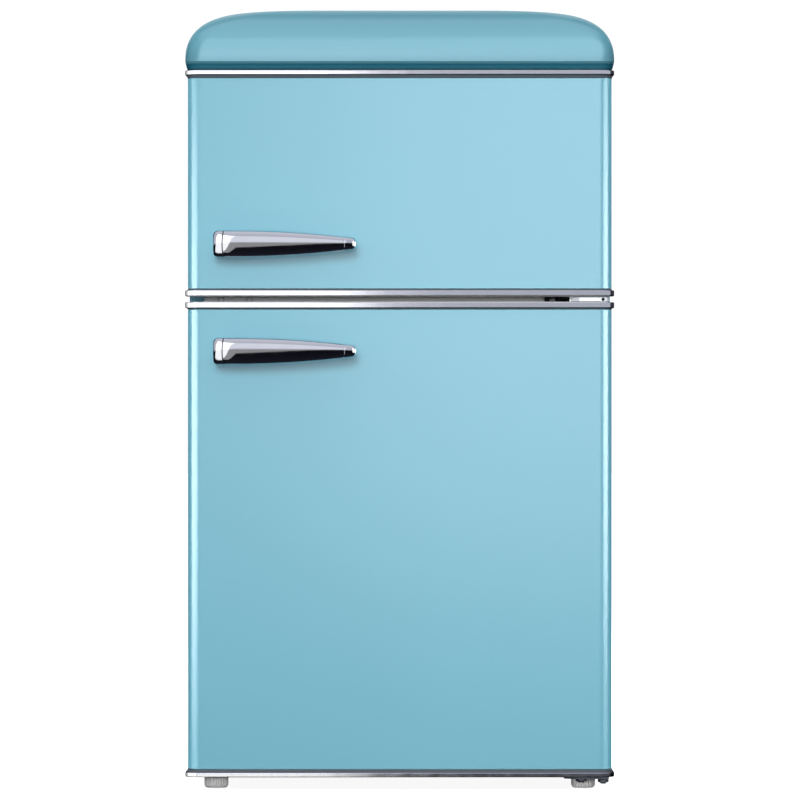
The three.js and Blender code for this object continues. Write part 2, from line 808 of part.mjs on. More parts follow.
// A roll-bonded plate behind the freezer liner, with its raised channels.
function evaporatorPlate() {
  const back = ROOM_BACK + LINER + GAP;
  const channels = Array.from({ length: 5 }, (_, i) => {
    const z = FREEZER.bottom + 30 + i * 33;
    return slab(150, back + 1, back + 4.5, z - 4, z + 4);
  });
  return join(slab(172, back, back + 1.5, FREEZER.bottom + 12, FREEZER.top - 12), ...channels);
}
put(cabinet, "evaporator_plate", evaporatorPlate(), ALUMINIUM);

// ---------------------------------------------------------------- feet
// A fluted knob with its threaded stud, which screws into the cabinet's base.
function levellingFoot() {
  const outline = new THREE.Shape();
  const count = FOOT.flutes * 2;
  for (let i = 0; i < count; i++) {
    const r = i % 2 ? FOOT.r : FOOT.r - 0.9;
    const a = (i / count) * 2 * Math.PI;
    if (i === 0) outline.moveTo(r, 0);
    else outline.lineTo(r * Math.cos(a), r * Math.sin(a));
  }
  return join(
    raise(outline, 3, FOOT.h),
    new THREE.CylinderGeometry(FOOT.r - 0.9, FOOT.r - 3.2, 3, 24)
      .rotateX(Math.PI / 2)
      .translate(0, 0, 1.5),
    post(STUD_R, 0, 0, FOOT.h - 1, FOOT.h + 26, 16),
  );
}
for (const [name, side] of [
  ["front_foot_left", -1],
  ["front_foot_right", 1],
])
  put(refrigerator, name, levellingFoot(), FOOT_GREY, side * FOOT.x, FOOT.y, 0);

for (const [name, side] of [
  ["rear_foot_left", -1],
  ["rear_foot_right", 1],
])
  put(
    cabinet,
    name,
    new THREE.CylinderGeometry(13, 11, RAIL.top - RAIL.thick - GAP, 20).rotateX(Math.PI / 2),
    BLACK_PLASTIC,
    side * 205,
    232,
    (RAIL.top - RAIL.thick - GAP) / 2,
  );

// ---------------------------------------------------------------- crisper drawer
const CRISPER = { half: 189, front: SHELF.front, back: STEP.front - 6, bottom: 54, top: 226, wall: 2.5 };
function crisperDrawer() {
  const { half, wall } = CRISPER;
  const depth = CRISPER.back - CRISPER.front;
  const tall = CRISPER.top - CRISPER.bottom;
  return cut(
    join(
      raise(roundedRect(-half, half, 0, depth, 10), 0, tall, 4),
      slab(half - 40, -9, 4, tall - 16, tall),
    ),
    raise(roundedRect(-half + wall, half - wall, wall + 1, depth - wall, 8), wall, tall + 1, 4),
    slab(half - 44, -6, 0.5, tall - 20, tall - 3),
  );
}
put(refrigerator, "crisper_drawer", crisperDrawer(), CLEAR, 0, CRISPER.front, CRISPER.bottom);

// ---------------------------------------------------------------- doors
const RIDGE = { outer: DOOR_HALF - 53, inner: 162, hollow: 25, r: 16 };
const BIN = { half: 157, front: -21, back: 50, tall: 66, wall: 2.2 };
const HANDLE = { x: -128.6, length: 160, tall: 30, tip: 14, corner: 5, straight: 20 };

const doorPlan = (half, front, r) => roundedRect(-half, half, front, 0, r, 0);

// A door's foam core seen from behind: a slab, a ridge round the edge, a hollow inside it.
function doorCore(height, ridge, grow) {
  const half = DOOR_HALF - SHEET - GAP;
  const ends = TRIM_H + GAP;
  const core = raise(
    roundedRect(-half, half, -DOOR_THICK + SHEET + GAP, -LINER + grow, 13, 0),
    ends,
    height - ends,
  );
  return cut(
    join(
      core,
      room(RIDGE.outer - LINER + grow, -20, DIKE_REACH - LINER + grow, ridge.bottom + LINER - grow, ridge.top - LINER + grow, RIDGE.r),
    ),
    room(
      RIDGE.inner - grow,
      -RIDGE.hollow - LINER + grow,
      DIKE_REACH + 20,
      ridge.bottom + 23 + grow,
      ridge.top - 23 - grow,
      RIDGE.r - 4,
    ),
  );
}

function frameRing(outer, inner, y0, y1, z, inset, r) {
  return cut(
    room(outer, y0, y1, z.bottom, z.top, r),
    room(inner, y0 - 1, y1 + 1, z.bottom + inset, z.top - inset, r - 3),
  );
}

// Half the height of the handle's grip at x along it: level at first, then narrowing to the tip.
function gripHalfHeight(x) {
  const { corner, straight } = HANDLE;
  const end = HANDLE.length / 2;
  const share = Math.min(1, Math.max(0, (x + end - straight) / (2 * end - straight - corner)));
  const half = HANDLE.tall / 2 - ((HANDLE.tall - HANDLE.tip) / 2) * share ** 2.1;
  const into = Math.max(0, Math.abs(x) - end + corner) / corner;
  return half - corner + corner * Math.sqrt(1 - into * into);
}

// How far the grip's front falls back at x: over a long curve at the thick end, a short one at the tip.
function gripFallBack(x) {
  const end = HANDLE.length / 2;
  const share = Math.min((x + end) / 24, (end - x) / 10, 1);
  return 7 * (1 - Math.sqrt(share * (2 - share)));
}

// The grip is a tapering bar with a rounded section, held off the door by a leg at each end.
function handleBar() {
  const end = HANDLE.length / 2;
  const stations = [-end, -end + 0.8, -end + 2.4, -end + 5, -end + 12, -end + 24, -7, 22, 50];
  stations.push(end - 10, end - 5, end - 2.4, end - 0.8, end);
  const sides = 14;
  const rings = stations.map((x) => {
    const high = gripHalfHeight(x);
    const front = -HANDLE_REACH + gripFallBack(x);
    const back = -HANDLE_REACH + 13 - 2 * ((x + end) / (2 * end));
    const half = (back - front) / 2;
    return Array.from({ length: sides }, (_, i) => {
      const a = (i / sides) * 2 * Math.PI;
      const c = Math.sign(Math.cos(a)) * Math.abs(Math.cos(a)) ** 0.75;
      const d = Math.sign(Math.sin(a)) * Math.abs(Math.sin(a)) ** 0.75;
      return V(x, (front + back) / 2 + half * c, high * d);
    });
  });
  const [legFront, legBack] = [-22, -GAP];
  return join(
    loft(rings),
    runBack(roundedRect(-end + 2, -end + 13, -12, 12, 4), legFront, legBack, 3),
    runBack(roundedRect(end - 15, end - 4, -5.5, 5.5, 5), legFront, legBack, 3),
  );
}

function makeDoor(name, spec) {
  const { height, ridge } = spec;
  const door = new THREE.Group();
  door.position.set(0, DOOR_BACK, spec.bottom);
  refrigerator.add(door);
  const add = (piece, geometry, material, ...at) =>
    put(door, `${name}_${piece}`, geometry, material, ...at);
  const hingeY = HINGE_Y - DOOR_BACK;
  const bossHeight = 22;

  add(
    "panel",
    cut(
      raise(doorPlan(DOOR_HALF, -DOOR_THICK, 15), TRIM_H + GAP, height - TRIM_H - GAP),
      raise(doorPlan(DOOR_HALF - SHEET, -DOOR_THICK + SHEET, 14), 0, height),
      slab(DOOR_HALF - SHEET, -5, 5, 0, height),
    ),
    AQUA,
  );

  const trim = cut(
    raise(doorPlan(TRIM_HALF, -DOOR_THICK - TRIM_FRONT, 18), 0, TRIM_H),
    raise(doorPlan(TRIM_HALF - 5, -DOOR_THICK - TRIM_FRONT + 5, 13), -1, TRIM_H + 1),
    slab(TRIM_HALF - 5, -5, 5, -1, TRIM_H + 1),
  );
  add("bottom_trim", trim, CHROME);
  add("top_trim", trim.clone(), CHROME, 0, 0, height - TRIM_H);

  // The white end caps close the foam in, inside the trims, and hold the hinge bushings.
  function endCap(outside, inside, bossEnd) {
    const plan = doorPlan(TRIM_HALF - 5 - GAP, -DOOR_THICK - TRIM_FRONT + 5 + GAP, 12.7);
    const span = (...zs) => zs.sort((p, q) => p - q);
    const boss = post(6.4, HINGE_X, hingeY, ...span(outside, bossEnd), 20);
    const bore = post(BORE_R, HINGE_X, hingeY, -1, height + 1);
    return cut(join(raise(plan, ...span(outside, inside)), boss), bore);
  }
  add("bottom_end_cap", endCap(0.4, TRIM_H, bossHeight), WHITE_ABS);
  add("top_end_cap", endCap(height - 0.4, height - TRIM_H, height - bossHeight), WHITE_ABS);

  const pocket = (z0, z1) => block(HINGE_X - 7, DOOR_HALF, hingeY - 7, hingeY + 7, z0, z1);
  const foam = cut(
    doorCore(height, ridge, -GAP),
    pocket(0, bossHeight + GAP),
    pocket(height - bossHeight - GAP, height),
  );
  add("insulation", foam, FOAM);
  add("liner", cut(doorCore(height, ridge, LINER), doorCore(height, ridge, 0)), WHITE_ABS);

  const seal = { bottom: spec.gasket[0], top: spec.gasket[1] };
  add("gasket", frameRing(224, 209, GAP, GASKET - GAP, seal, 15, 8), RUBBER);
  add("handle", handleBar(), CHROME, HANDLE.x, -DOOR_THICK, spec.handle);

  for (const [binName, z] of Object.entries(spec.bins)) {
    const bin = cut(
      raise(roundedRect(-BIN.half, BIN.half, BIN.front, BIN.back, 3, 16), 0, BIN.tall, 4),
      raise(
        roundedRect(-BIN.half + BIN.wall, BIN.half - BIN.wall, BIN.front + BIN.wall, BIN.back - BIN.wall, 2, 14),
        BIN.wall,
        BIN.tall + 1,
        4,
      ),
    );
    add(binName, bin, CLEAR, 0, 0, z);
  }
}

// Heights in a door are above its own bottom edge.
makeDoor("fridge_door", {
  bottom: DOOR_BOTTOM,
  height: LOWER_DOOR_H,
  ridge: { bottom: 44, top: 502 },
  gasket: [4, 530.2],
  handle: 477.5,
  bins: { bin_lower: 81, bin_middle: 232, bin_upper: 383 },
});
makeDoor("freezer_door", {
  bottom: UPPER_DOOR_BOTTOM,
  height: UPPER_DOOR_H,
  ridge: { bottom: 27, top: 208 },
  gasket: [3.3, 243.5],
  handle: 58.5,
  bins: { rack: 64 },
});

export default refrigerator;
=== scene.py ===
"""How the two-door retro refrigerator looks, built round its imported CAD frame.

Metres, +Z up, the doors face -Y. Lengths that describe the object are written in millimetres
and turned into metres by MM.
"""

import json
import math

import bmesh
import bpy
from mathutils import Matrix, Vector

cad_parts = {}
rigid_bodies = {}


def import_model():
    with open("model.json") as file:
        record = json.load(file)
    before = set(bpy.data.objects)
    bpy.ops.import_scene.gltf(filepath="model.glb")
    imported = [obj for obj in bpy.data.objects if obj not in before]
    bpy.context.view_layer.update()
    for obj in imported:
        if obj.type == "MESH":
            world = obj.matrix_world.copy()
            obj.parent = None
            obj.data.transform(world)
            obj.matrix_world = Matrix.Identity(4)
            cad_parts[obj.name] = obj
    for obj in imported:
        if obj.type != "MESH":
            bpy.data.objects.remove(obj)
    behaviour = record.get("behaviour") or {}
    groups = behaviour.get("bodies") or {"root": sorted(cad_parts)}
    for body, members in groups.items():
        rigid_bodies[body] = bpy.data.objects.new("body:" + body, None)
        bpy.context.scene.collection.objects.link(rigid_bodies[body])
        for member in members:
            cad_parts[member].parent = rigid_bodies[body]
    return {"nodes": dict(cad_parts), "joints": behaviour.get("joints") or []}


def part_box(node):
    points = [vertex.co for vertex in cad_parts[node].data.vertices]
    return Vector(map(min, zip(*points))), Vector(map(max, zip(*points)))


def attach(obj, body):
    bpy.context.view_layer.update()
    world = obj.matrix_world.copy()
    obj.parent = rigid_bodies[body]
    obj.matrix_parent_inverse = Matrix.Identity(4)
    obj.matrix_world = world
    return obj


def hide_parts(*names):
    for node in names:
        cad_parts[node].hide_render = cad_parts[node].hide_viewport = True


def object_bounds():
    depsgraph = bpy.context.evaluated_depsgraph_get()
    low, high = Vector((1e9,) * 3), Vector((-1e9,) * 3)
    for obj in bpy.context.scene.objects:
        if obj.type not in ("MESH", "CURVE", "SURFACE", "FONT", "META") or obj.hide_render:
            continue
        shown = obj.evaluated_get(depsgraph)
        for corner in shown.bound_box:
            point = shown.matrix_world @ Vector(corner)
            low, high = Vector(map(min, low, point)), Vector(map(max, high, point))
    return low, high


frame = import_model()
CAD_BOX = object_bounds()
MM = 0.001

# ---------------------------------------------------------------- sizes read from the frame
cap_low, cap_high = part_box("top_cap")
panel_low, panel_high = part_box("fridge_door_panel")
trim_low, trim_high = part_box("fridge_door_top_trim")
TRIM_HALF = trim_high.x
TRIM_FRONT = trim_low.y
TRIM_H = trim_high.z - trim_low.z
DOOR_HALF = panel_high.x
DOOR_FRONT = panel_low.y
DOOR_BACK = panel_high.y
SEAM_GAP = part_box("freezer_door_bottom_trim")[0].z - trim_high.z
SEAM = trim_high.z + SEAM_GAP / 2
CABINET_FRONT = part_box("side_panel_left")[0].y
HINGE = next(j for j in frame["joints"] if j["name"] == "fridge_door_hinge")["pos_m"]


# ---------------------------------------------------------------- materials
def blank_material(name):
    material = bpy.data.materials.new(name)
    material.use_nodes = True
    return material, material.node_tree, material.node_tree.nodes["Principled BSDF"]


def noise(tree, scale, detail=3.0, roughness=0.5):
    """A noise texture in the object's own metres; scale is in cells per metre."""
    where = tree.nodes.new("ShaderNodeTexCoord")
    texture = tree.nodes.new("ShaderNodeTexNoise")
    texture.inputs["Scale"].default_value = scale
    texture.inputs["Detail"].default_value = detail
    texture.inputs["Roughness"].default_value = roughness
    tree.links.new(where.outputs["Object"], texture.inputs["Vector"])
    return texture.outputs["Fac"]


def between(tree, factor, low, high, low_at=0.35, high_at=0.65):
    """Two colours, or two numbers, mixed by a texture."""
    ramp = tree.nodes.new("ShaderNodeValToRGB")
    for stop, position, value in zip(ramp.color_ramp.elements, (low_at, high_at), (low, high)):
        stop.position = position
        stop.color = (*value, 1.0) if isinstance(value, tuple) else (value, value, value, 1.0)
    tree.links.new(factor, ramp.inputs["Fac"])
    return ramp.outputs["Color"]


def bump(tree, shader, height, depth, strength=1.0):
    """Raises the surface by depth metres where height is 1."""
    node = tree.nodes.new("ShaderNodeBump")
    node.inputs["Strength"].default_value = strength
    node.inputs["Distance"].default_value = depth
    tree.links.new(height, node.inputs["Height"])
    tree.links.new(node.outputs["Normal"], shader.inputs["Normal"])


def shade(colour, factor):
    """A colour made darker or lighter."""
    return tuple(c * factor for c in colour)


def coated_paint(name, colour, roughness, peel=0.00001):
    """Sprayed enamel: slight drift of shade and gloss over a faint orange peel."""
    material, tree, shader = blank_material(name)
    tint = between(tree, noise(tree, 3.0, 2.0), shade(colour, 0.985), shade(colour, 1.015))
    tree.links.new(tint, shader.inputs["Base Color"])
    gloss = between(tree, noise(tree, 6.0, 1.0), roughness * 0.98, roughness * 1.02, 0.2, 0.8)
    tree.links.new(gloss, shader.inputs["Roughness"])
    bump(tree, shader, noise(tree, 420.0, 2.0), peel)
    return material


def plated(name, colour, roughness, wear):
    """Polished or brushed metal: fine wear makes it rougher and a little darker."""
    material, tree, shader = blank_material(name)
    shader.inputs["Metallic"].default_value = 1.0
    fine = noise(tree, 60.0, 5.0, 0.6)
    tree.links.new(between(tree, fine, shade(colour, 0.97), colour), shader.inputs["Base Color"])
    tree.links.new(between(tree, fine, roughness, roughness + wear), shader.inputs["Roughness"])
    bump(tree, shader, fine, 0.0000015, 0.4)
    return material


def moulded(name, colour, roughness, grain, scale, specular=0.5):
    """Moulded plastic or rubber with a fine texture in the tool."""
    material, tree, shader = blank_material(name)
    drift = noise(tree, 12.0, 2.0)
    tree.links.new(between(tree, drift, shade(colour, 0.96), colour), shader.inputs["Base Color"])
    fine = noise(tree, scale, 3.0)
    tree.links.new(between(tree, fine, roughness * 0.9, roughness * 1.1), shader.inputs["Roughness"])
    shader.inputs["Specular IOR Level"].default_value = specular
    bump(tree, shader, fine, grain, 0.6)
    return material


def galvanised(name, colour):
    """Zinc-coated sheet with its patchwork of crystals."""
    material, tree, shader = blank_material(name)
    where = tree.nodes.new("ShaderNodeTexCoord")
    cells = tree.nodes.new("ShaderNodeTexVoronoi")
    cells.inputs["Scale"].default_value = 90.0
    tree.links.new(where.outputs["Object"], cells.inputs["Vector"])
    split = tree.nodes.new("ShaderNodeSeparateColor")
    tree.links.new(cells.outputs["Color"], split.inputs["Color"])
    spangle = split.outputs["Red"]
    tint = between(tree, spangle, shade(colour, 0.9), colour, 0.0, 1.0)
    tree.links.new(tint, shader.inputs["Base Color"])
    tree.links.new(between(tree, spangle, 0.42, 0.5, 0.0, 1.0), shader.inputs["Roughness"])
    shader.inputs["Metallic"].default_value = 0.55
    bump(tree, shader, noise(tree, 500.0, 3.0), 0.00001, 0.5)
    return material


def clear(name, colour, roughness, ior=1.49, haze=0.0):
    """Transparent plastic or glass, with a faint haze of handling."""
    material, tree, shader = blank_material(name)
    smear = noise(tree, 30.0, 4.0)
    tree.links.new(between(tree, smear, roughness, roughness + 0.05), shader.inputs["Roughness"])
    tree.links.new(between(tree, smear, shade(colour, 0.985), colour), shader.inputs["Base Color"])
    shader.inputs["Transmission Weight"].default_value = 1.0 - haze
    shader.inputs["IOR"].default_value = ior
    return material


def foamed(name, colour):
    """Rigid foam: open cells over a soft mottling."""
    material, tree, shader = blank_material(name)
    cells = noise(tree, 700.0, 6.0, 0.7)
    tree.links.new(between(tree, cells, shade(colour, 0.8), colour), shader.inputs["Base Color"])
    shader.inputs["Roughness"].default_value = 0.95
    bump(tree, shader, cells, 0.0004)
    return material


AQUA = coated_paint("aqua_enamel", (0.152, 0.442, 0.545), 0.26)
# The cabinet's aqua is a lighter copy of the door enamel, with a painted sheen baked into its colour.
AQUA_BODY_PAINTED_SHEEN = coated_paint("aqua_cabinet_painted_sheen", (0.195, 0.485, 0.595), 0.28)
AQUA_CAP = coated_paint("aqua_cap_gloss", (0.142, 0.415, 0.500), 0.3, 0.000004)
# A darker copy of the cap's aqua: painted shade for the lip where it curls under the crease.
AQUA_LIP_PAINTED_SHADE = coated_paint("aqua_lip_painted_shade", (0.022, 0.215, 0.300), 0.3, 0.000004)
CHROME = plated("chrome_plate", (0.86, 0.865, 0.90), 0.035, 0.03)
TRIM_CHROME = plated("trim_chrome", (0.90, 0.905, 0.93), 0.11, 0.05)
# Dark colour of the trims' groove against the panel: painted shade.
TRIM_GROOVE_PAINTED_SHADE = moulded("trim_groove_painted_shade", (0.13, 0.15, 0.17), 0.45, 0.00001, 800.0)
STEEL = plated("zinc_steel", (0.66, 0.68, 0.70), 0.28, 0.15)
STRIP = moulded("grey_strip", (0.22, 0.22, 0.225), 0.35, 0.00001, 600.0)
COPPER = plated("copper_tube", (0.78, 0.42, 0.27), 0.22, 0.25)
ALUMINIUM = plated("roll_bond_aluminium", (0.78, 0.79, 0.80), 0.3, 0.15)
GALVANISED = galvanised("galvanised_sheet", (0.62, 0.64, 0.65))
WHITE_ABS = moulded("white_liner_plastic", (0.80, 0.82, 0.82), 0.32, 0.00001, 300.0)
WHITE_METAL = coated_paint("white_enamel", (0.80, 0.82, 0.84), 0.35)
HINGE_WHITE = coated_paint("hinge_white_enamel", (0.80, 0.83, 0.87), 0.3)
BLACK_ENAMEL = coated_paint("black_enamel", (0.014, 0.014, 0.016), 0.22)
BLACK_PLASTIC = moulded("black_plastic", (0.02, 0.02, 0.022), 0.5, 0.00003, 1200.0)
FOOT_GREY = moulded("foot_plastic", (0.62, 0.61, 0.60), 0.5, 0.00003, 1500.0)
RUBBER = moulded("gasket_vinyl", (0.60, 0.61, 0.60), 0.6, 0.00002, 900.0, 0.3)
FOAM = foamed("polyurethane_foam", (0.85, 0.76, 0.50))
CLEAR = clear("clear_plastic", (0.90, 0.95, 0.97), 0.05)
GLASS = clear("shelf_glass", (0.86, 0.95, 0.92), 0.02, 1.5)
DIFFUSER = clear("lamp_diffuser", (0.97, 0.97, 0.95), 0.25, 1.45, 0.35)
MARK_GREY = moulded("printed_mark", (0.12, 0.13, 0.15), 0.5, 0.00001, 900.0)


# ---------------------------------------------------------------- mesh tools
def piece(name, verts, faces, material, body, slot, replaces=(), sharp=35.0):
    """A mesh object from world-space points in metres, riding on a body."""
    mesh = bpy.data.meshes.new(name)
    mesh.from_pydata([tuple(v) for v in verts], [], faces)
    return finish_piece(name, mesh, material, body, replaces, sharp)


def finish_piece(name, mesh, material, body, replaces=(), sharp=35.0):
    """Merges doubled points, turns the faces outward, shades smooth below the sharp angle, and enrols it."""
    tidy = bmesh.new()
    tidy.from_mesh(mesh)
    bmesh.ops.remove_doubles(tidy, verts=tidy.verts, dist=1e-7)
    bmesh.ops.recalc_face_normals(tidy, faces=tidy.faces)
    tidy.to_mesh(mesh)
    tidy.free()
    mesh.shade_smooth()
    mesh.set_sharp_from_angle(angle=math.radians(sharp))
    mesh.materials.append(material)
    obj = bpy.data.objects.new(name, mesh)
    bpy.context.scene.collection.objects.link(obj)
    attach(obj, body)
    if replaces:
        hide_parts(*replaces)
    return obj


def skin(rings, ends=(True, True)):
    """Points and faces over rings of equally many points; ends closes the first and last ring."""
    n = len(rings[0])
    verts = [p for ring in rings for p in ring]
    faces = []
    for k in range(len(rings) - 1):
        for i in range(n):
            j = (i + 1) % n
            faces.append((k * n + i, k * n + j, (k + 1) * n + j, (k + 1) * n + i))
    if ends[0]:
        faces.append(tuple(range(n)))
    if ends[1]:
        faces.append(tuple((len(rings) - 1) * n + i for i in range(n)))
    return verts, faces


def arc(cx, cy, r, start, end, steps):
    """Points of an arc with their outward directions: (x, y, nx, ny). Angles in degrees."""
    points = []
    for i in range(steps + 1):
        a = math.radians(start + (end - start) * i / steps)
        points.append((cx + r * math.cos(a), cy + r * math.sin(a), math.cos(a), math.sin(a)))
    return points


def door_path(half, front, back, radius, steps=14):
    """The plan of a door's face from its left back edge round the front to its right back edge."""
    left = arc(-half + radius, front + radius, radius, 180, 270, steps)
    right = arc(half - radius, front + radius, radius, 270, 360, steps)
    return [(-half, back, -1, 0), *left, *right, (half, back, 1, 0)]


def rounded_loop(half, low, high, low_radius, high_radius=None, steps=8):
    """A closed rounded rectangle: half its width, its low and high edge, and the corner radius at each."""
    top = high_radius or low_radius
    corners = (
        (half - low_radius, low + low_radius, low_radius, 270),
        (half - top, high - top, top, 0),
        (top - half, high - top, top, 90),
        (low_radius - half, low + low_radius, low_radius, 180),
    )
    return [p for cx, cy, r, a in corners for p in arc(cx, cy, r, a, a + 90, steps)]


def sweep_door(path, profile):
    """Rings along a door path; profile is a closed list of (outward, height) in metres."""
    return [[(x + nx * o, y + ny * o, z) for o, z in profile] for x, y, nx, ny in path]


def rounded_box(low, high, radius):
    """A box with all its edges rounded, as a mesh."""
    mesh = bpy.data.meshes.new("rounded_box")
    work = bmesh.new()
    bmesh.ops.create_cube(work, size=1.0)
    size = Vector(high) - Vector(low)
    middle = (Vector(high) + Vector(low)) / 2
    matrix = Matrix.Translation(middle) @ Matrix.Diagonal((*size, 1))
    bmesh.ops.transform(work, verts=work.verts, matrix=matrix)
    bmesh.ops.bevel(work, geom=list(work.edges), offset=radius, segments=3, profile=0.5, affect="EDGES")
    work.to_mesh(mesh)
    work.free()
    return mesh


def turns(steps):
    """Angles in radians, evenly round a circle."""
    return [2 * math.pi * i / steps for i in range(steps)]


def circle(radius, z, steps):
    """Points of a circle about Z."""
    return [(radius * math.cos(a), radius * math.sin(a), z) for a in turns(steps)]


def lathe(profile, steps=40):
    """Rings of a turned solid about Z from (radius, height) points, bottom first."""
    return [circle(max(r, 1e-5), z, steps) for r, z in profile]


def in_mm(points):
    return [tuple(value * MM for value in point) for point in points]


def place(rings, at, turn=None):
    """Rings turned by a matrix and moved to a point."""
    turn = turn or Matrix.Identity(3)
    return [[turn @ Vector(p) + Vector(at) for p in ring] for ring in rings]


TO_FRONT = Matrix.Rotation(math.radians(90), 3, "X")  # +Z becomes -Y
TO_BACK = Matrix.Rotation(math.radians(-90), 3, "X")
TO_BELOW = Matrix.Rotation(math.radians(180), 3, "X")


def pan_screw(name, at, turn, body, radius, material=STEEL):
    """A pan-head screw of the given radius in millimetres, its head standing along the turned +Z."""
    r = radius * MM
    h = 0.62 * r
    rim = [(r, 0), (r, h * 0.25), (r * 0.93, h * 0.6), (r * 0.72, h * 0.88), (r * 0.42, h)]
    head = lathe([(0, 0), *rim, (r * 0.2, h * 0.98), (r * 0.16, h * 0.62), (0, h * 0.5)], 24)
    return piece(name, *skin(place(head, at, turn)), material, body, "zinc_steel")


# ---------------------------------------------------------------- domed cap
DOME_IN = {"side": 100 * MM, "front": 110 * MM, "back": 60 * MM}  # how far in from the edge the dome curves
DOME_POWER = 2.45  # 2 gives an ellipse, more a squarer shoulder
DOME_STEPS = 40
CAP_CORNER = 18 * MM
CORNER_GAIN = 62 * MM  # what the corner radius gains towards the crown
CAP_WALL = 3 * MM
LIP_HEIGHT = 9 * MM
TUCK_SIDE = 2.6 * MM  # how far the lip curls in under the crease
TUCK_FRONT = 7 * MM
SHADED_FROM = 2.2 * MM  # the lip takes its darker copy of the aqua, painted shade, this far below the crease
# The lip's curl: its share of the tuck, and how far below the crease in millimetres.
CURL = (
    (1, 9), (0.86, 8.5), (0.72, 7.7), (0.58, 6.5), (0.45, 5.1),
    (0.33, 3.8), (0.22, 2.6), (0.12, 1.5), (0.04, 0.5),
)


def cap_ring(inset_side, inset_front, inset_back, radius, z):
    half = cap_high.x - inset_side
    loop = rounded_loop(half, cap_low.y + inset_front, cap_high.y - inset_back, radius, steps=12)
    return [(p[0], p[1], z) for p in loop]


def dome_ring(t, thickness, crease):
    """One level of the dome: t runs from 0 at the crease to 1 at the crown."""
    angle = t * math.pi / 2
    inset = 1 - math.cos(angle) ** (2 / DOME_POWER)
    lift = math.sin(angle) ** (2 / DOME_POWER)
    return cap_ring(
        DOME_IN["side"] * inset + thickness,
        DOME_IN["front"] * inset + thickness,
        DOME_IN["back"] * inset + thickness,
        CAP_CORNER + CORNER_GAIN * inset - thickness / 2,
        crease + (cap_high.z - crease - thickness) * lift,
    )


def make_cap():
    crease = cap_low.z + LIP_HEIGHT
    spread = [(i / DOME_STEPS) ** 1.35 for i in range(DOME_STEPS + 1)]
    outside = [dome_ring(t, 0, crease) for t in spread]
    inside = [dome_ring(t, CAP_WALL, crease) for t in reversed(spread)]
    foot = cap_ring(TUCK_SIDE + CAP_WALL, TUCK_FRONT + CAP_WALL, CAP_WALL, CAP_CORNER - 2 * MM, cap_low.z)
    lip = [
        cap_ring(TUCK_SIDE * share, TUCK_FRONT * share, 0, CAP_CORNER - MM * share, crease - drop * MM)
        for share, drop in CURL
    ]
    verts, faces = skin([*inside, foot, *lip, *outside])
    cap = piece("domed_cap", verts, faces, AQUA_CAP, "cabinet", "aqua_cap", ["top_cap"], 18)
    cap.data.materials.append(AQUA_LIP_PAINTED_SHADE)
    # Low, downward faces of the lip take the darker copy, as painted shade.
    for polygon in cap.data.polygons:
        if polygon.center.z < crease - SHADED_FROM and polygon.normal.z < 0.3:
            polygon.material_index = 1


make_cap()


# ---------------------------------------------------------------- door skins and trims
DOOR_CORNER = 15 * MM
TRIM_CORNER = 18 * MM
# A trim is a bright flat-faced bar on the outer side, then a groove against the panel, coloured dark as
# painted shade.
# Each bar's lower and upper edge, in millimetres from the trim's outer edge.
SEAM_BAR = (0.8, 7.0)
TOP_BAR = (0.0, 4.9)
BOTTOM_BAR = (0.0, 5.0)
TRIM_ROOT = -5  # the trims are closed this far behind their face
GROOVE_FACE = -2.3


def make_door_skin(door):
    low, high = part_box(f"{door}_panel")
    edge = 0.5 * MM
    profile = [
        (-MM, low.z),
        (-edge, low.z),
        (0, low.z + edge),
        (0, high.z - edge),
        (-edge, high.z),
        (-MM, high.z),
    ]
    path = door_path(DOOR_HALF, DOOR_FRONT, DOOR_BACK, DOOR_CORNER)
    verts, faces = skin(sweep_door(path, profile))
    piece(f"{door}_skin", verts, faces, AQUA, door, "aqua_paint", [f"{door}_panel"])


def trim_profile(z0, up, bar):
    """(outward, height) points of the bar; up is 1 where the panel is above it, -1 below."""
    r, s = 0.7, 0.5
    support = 0.15  # keeps the shading of the face flat between its rounded edges
    low, top = bar
    points = [(TRIM_ROOT, low), (-r, low)]
    points += [(-r + r * math.sin(a), low + r - r * math.cos(a)) for a in (0.4, 0.8, 1.2)]
    points += [(0, low + r), (0, low + r + support), (0, top - s - support), (0, top - s)]
    points += [(-s + s * math.cos(a), top - s + s * math.sin(a)) for a in (0.4, 0.8, 1.2)]
    points += [(-s, top), (TRIM_ROOT, top)]
    return [(o * MM, z0 + up * h * MM) for o, h in points]


def groove_profile(z0, up, bar):
    top = TRIM_H / MM
    low = bar[1] + 0.02
    chamfer = 0.3
    points = [
        (TRIM_ROOT, low),
        (GROOVE_FACE - chamfer, low),
        (GROOVE_FACE, low + chamfer),
        (GROOVE_FACE, top - chamfer),
        (GROOVE_FACE - chamfer, top),
        (TRIM_ROOT, top),
    ]
    return [(o * MM, z0 + up * h * MM) for o, h in points]


def make_trim(door, side, bar):
    node = f"{door}_{side}_trim"
    low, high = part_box(node)
    up = 1 if side == "bottom" else -1
    z0 = low.z if up == 1 else high.z
    path = door_path(TRIM_HALF, TRIM_FRONT, DOOR_BACK, TRIM_CORNER)
    verts, faces = skin(sweep_door(path, trim_profile(z0, up, bar)))
    piece(f"{node}_bar", verts, faces, TRIM_CHROME, door, "chrome", [node])
    verts, faces = skin(sweep_door(path, groove_profile(z0, up, bar)))
    # The groove piece is coloured dark as painted shade.
    piece(f"{node}_groove", verts, faces, TRIM_GROOVE_PAINTED_SHADE, door, "chrome")


